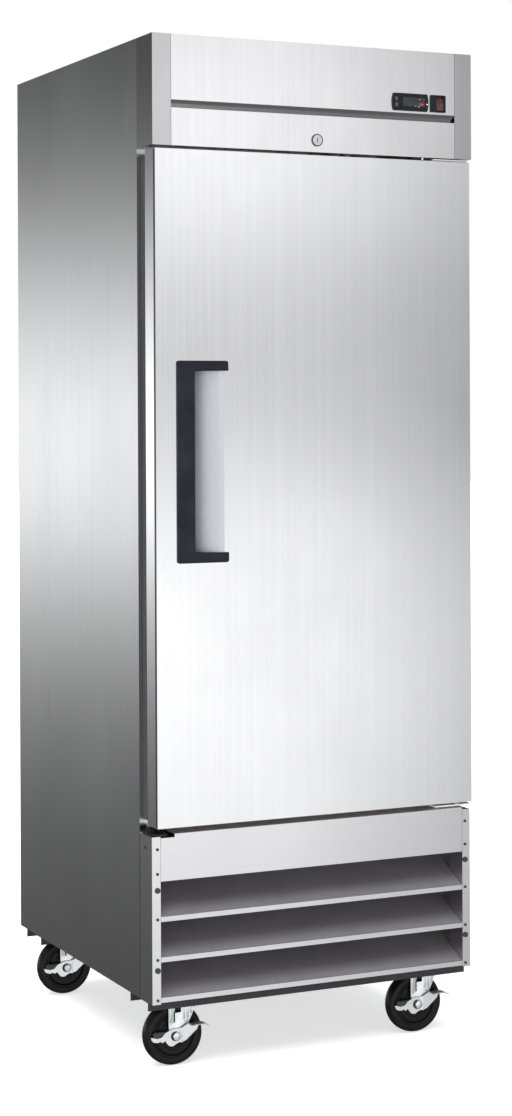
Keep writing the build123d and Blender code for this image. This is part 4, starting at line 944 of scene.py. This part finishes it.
# the room that the steel mirrors, as (degrees, brightness): round the horizon and up,
# with soft boxes in front and a low bright strip behind and at the sides
roomTones = {
    "frontRound": [
        (-180, 0.5), (-90, 0.5), (-50, 0.75), (-10, 1.0), (25, 1.02), (27.5, 0.98),
        (30, 0.58), (33, 0.34), (50, 0.30), (90, 0.5), (180, 0.5),
    ],
    "frontUp": [
        (-90, 0.42), (-45, 0.38), (-30, 0.40), (-18, 0.72), (-12, 0.98), (-9, 1.10),
        (-6, 1.24), (-4, 1.20), (-2, 0.92), (0, 0.64), (1.5, 0.56), (3, 0.68), (5, 1.05),
        (7, 1.26), (9.5, 1.00), (14, 0.82), (30, 0.60), (90, 0.55),
    ],
    "backUp": [
        (-90, 0.06), (-25, 0.07), (-14, 0.09), (-10, 0.13), (-7.5, 0.24), (-5, 0.58),
        (-2.5, 1.22), (0, 1.36), (3, 0.72), (6, 0.20), (9, 0.09), (15, 0.12), (30, 0.30),
        (90, 0.5),
    ],
    "backShare": [
        (-180, 1.0), (-125, 1.0), (-85, 0.0), (85, 0.0), (125, 1.0), (180, 1.0),
    ],
    "blueness": 1.005,
}
room = bpy.data.worlds.new("room")
bpy.context.scene.world = room
room.use_nodes = True
roomTree = room.node_tree
roomTree.nodes.clear()


def anglesRamp(source, stops, reach):
    # spreads the stops, which run from -reach to reach degrees, over the ramp
    blueness = roomTones["blueness"]
    return rampOn(roomTree, source, [
        ((angle + reach) / (2 * reach), (tone, tone, tone * blueness)) for angle, tone in stops
    ])


# direction of a ray, as an angle round the horizon (0 is straight in front) and an angle up
roomOut = addNode(roomTree, "ShaderNodeOutputWorld")
look = addNode(roomTree, "ShaderNodeTexCoord")
parts = addNode(roomTree, "ShaderNodeSeparateXYZ")
roomTree.links.new(look.outputs["Generated"], parts.inputs[0])
towards = addNode(roomTree, "ShaderNodeMath", operation="MULTIPLY")
towards.inputs[1].default_value = -1.0
roomTree.links.new(parts.outputs["Y"], towards.inputs[0])
roundAngle = addNode(roomTree, "ShaderNodeMath", operation="ARCTAN2")
roomTree.links.new(parts.outputs["X"], roundAngle.inputs[0])
roomTree.links.new(towards.outputs[0], roundAngle.inputs[1])
upAngle = addNode(roomTree, "ShaderNodeMath", operation="ARCSINE")
roomTree.links.new(parts.outputs["Z"], upAngle.inputs[0])
roundShare = rangeOn(roomTree, roundAngle.outputs[0], 0.0, 1.0, -math.pi, math.pi)
upShare = rangeOn(roomTree, upAngle.outputs[0], 0.0, 1.0, -math.pi / 2, math.pi / 2)
frontTone = mixColours(
    roomTree, 1.0, anglesRamp(roundShare, roomTones["frontRound"], 180),
    anglesRamp(upShare, roomTones["frontUp"], 90), "MULTIPLY",
)
share = anglesRamp(roundShare, roomTones["backShare"], 180)
roomLight = mixColours(roomTree, share, frontTone, anglesRamp(upShare, roomTones["backUp"], 90))
# the camera itself sees plain white
roomShade = addNode(roomTree, "ShaderNodeBackground")
roomTree.links.new(roomLight, roomShade.inputs["Color"])
plainShade = addNode(roomTree, "ShaderNodeBackground")
plainShade.inputs["Color"].default_value = (1, 1, 1, 1)
seen = addNode(roomTree, "ShaderNodeLightPath")
roomMix = addNode(roomTree, "ShaderNodeMixShader")
roomTree.links.new(seen.outputs["Is Camera Ray"], roomMix.inputs[0])
roomTree.links.new(roomShade.outputs[0], roomMix.inputs[1])
roomTree.links.new(plainShade.outputs[0], roomMix.inputs[2])
roomTree.links.new(roomMix.outputs[0], roomOut.inputs[0])

# a long lens from the front left; the shift keeps the upright edges straight
cameraSettings = {
    "place": (-2.0992, -4.5509, 1.3284),
    "yaw": 25.25,
    "pitch": 0.04,
    "roll": -0.25,
    "sensor": 36.0,
    "lens": 73.4,
    "shiftY": -0.1364,
    "farthest": 200.0,
}
cameraData = bpy.data.cameras.new("shopCamera")
cameraData.sensor_width = cameraSettings["sensor"]
cameraData.lens = cameraSettings["lens"]
cameraData.shift_y = cameraSettings["shiftY"]
cameraData.clip_end = cameraSettings["farthest"]
shopCamera = bpy.data.objects.new("shopCamera", cameraData)
bpy.context.scene.collection.objects.link(shopCamera)
yaw = math.radians(cameraSettings["yaw"])
pitch = math.radians(cameraSettings["pitch"])
level = math.cos(pitch)
ahead = Vector((math.sin(yaw) * level, math.cos(yaw) * level, math.sin(pitch)))
right = Vector((math.cos(yaw), -math.sin(yaw), 0.0))
above = right.cross(ahead)
roll = math.radians(cameraSettings["roll"])
tiltedRight = right * math.cos(roll) + above * math.sin(roll)
tiltedUp = above * math.cos(roll) - right * math.sin(roll)
turned = Matrix((tiltedRight, tiltedUp, -ahead)).transposed().to_4x4()
shopCamera.matrix_world = Matrix.Translation(cameraSettings["place"]) @ turned
bpy.context.scene.camera = shopCamera
bpy.context.scene.view_settings.view_transform = "Standard"
print("stage, light and camera ready")
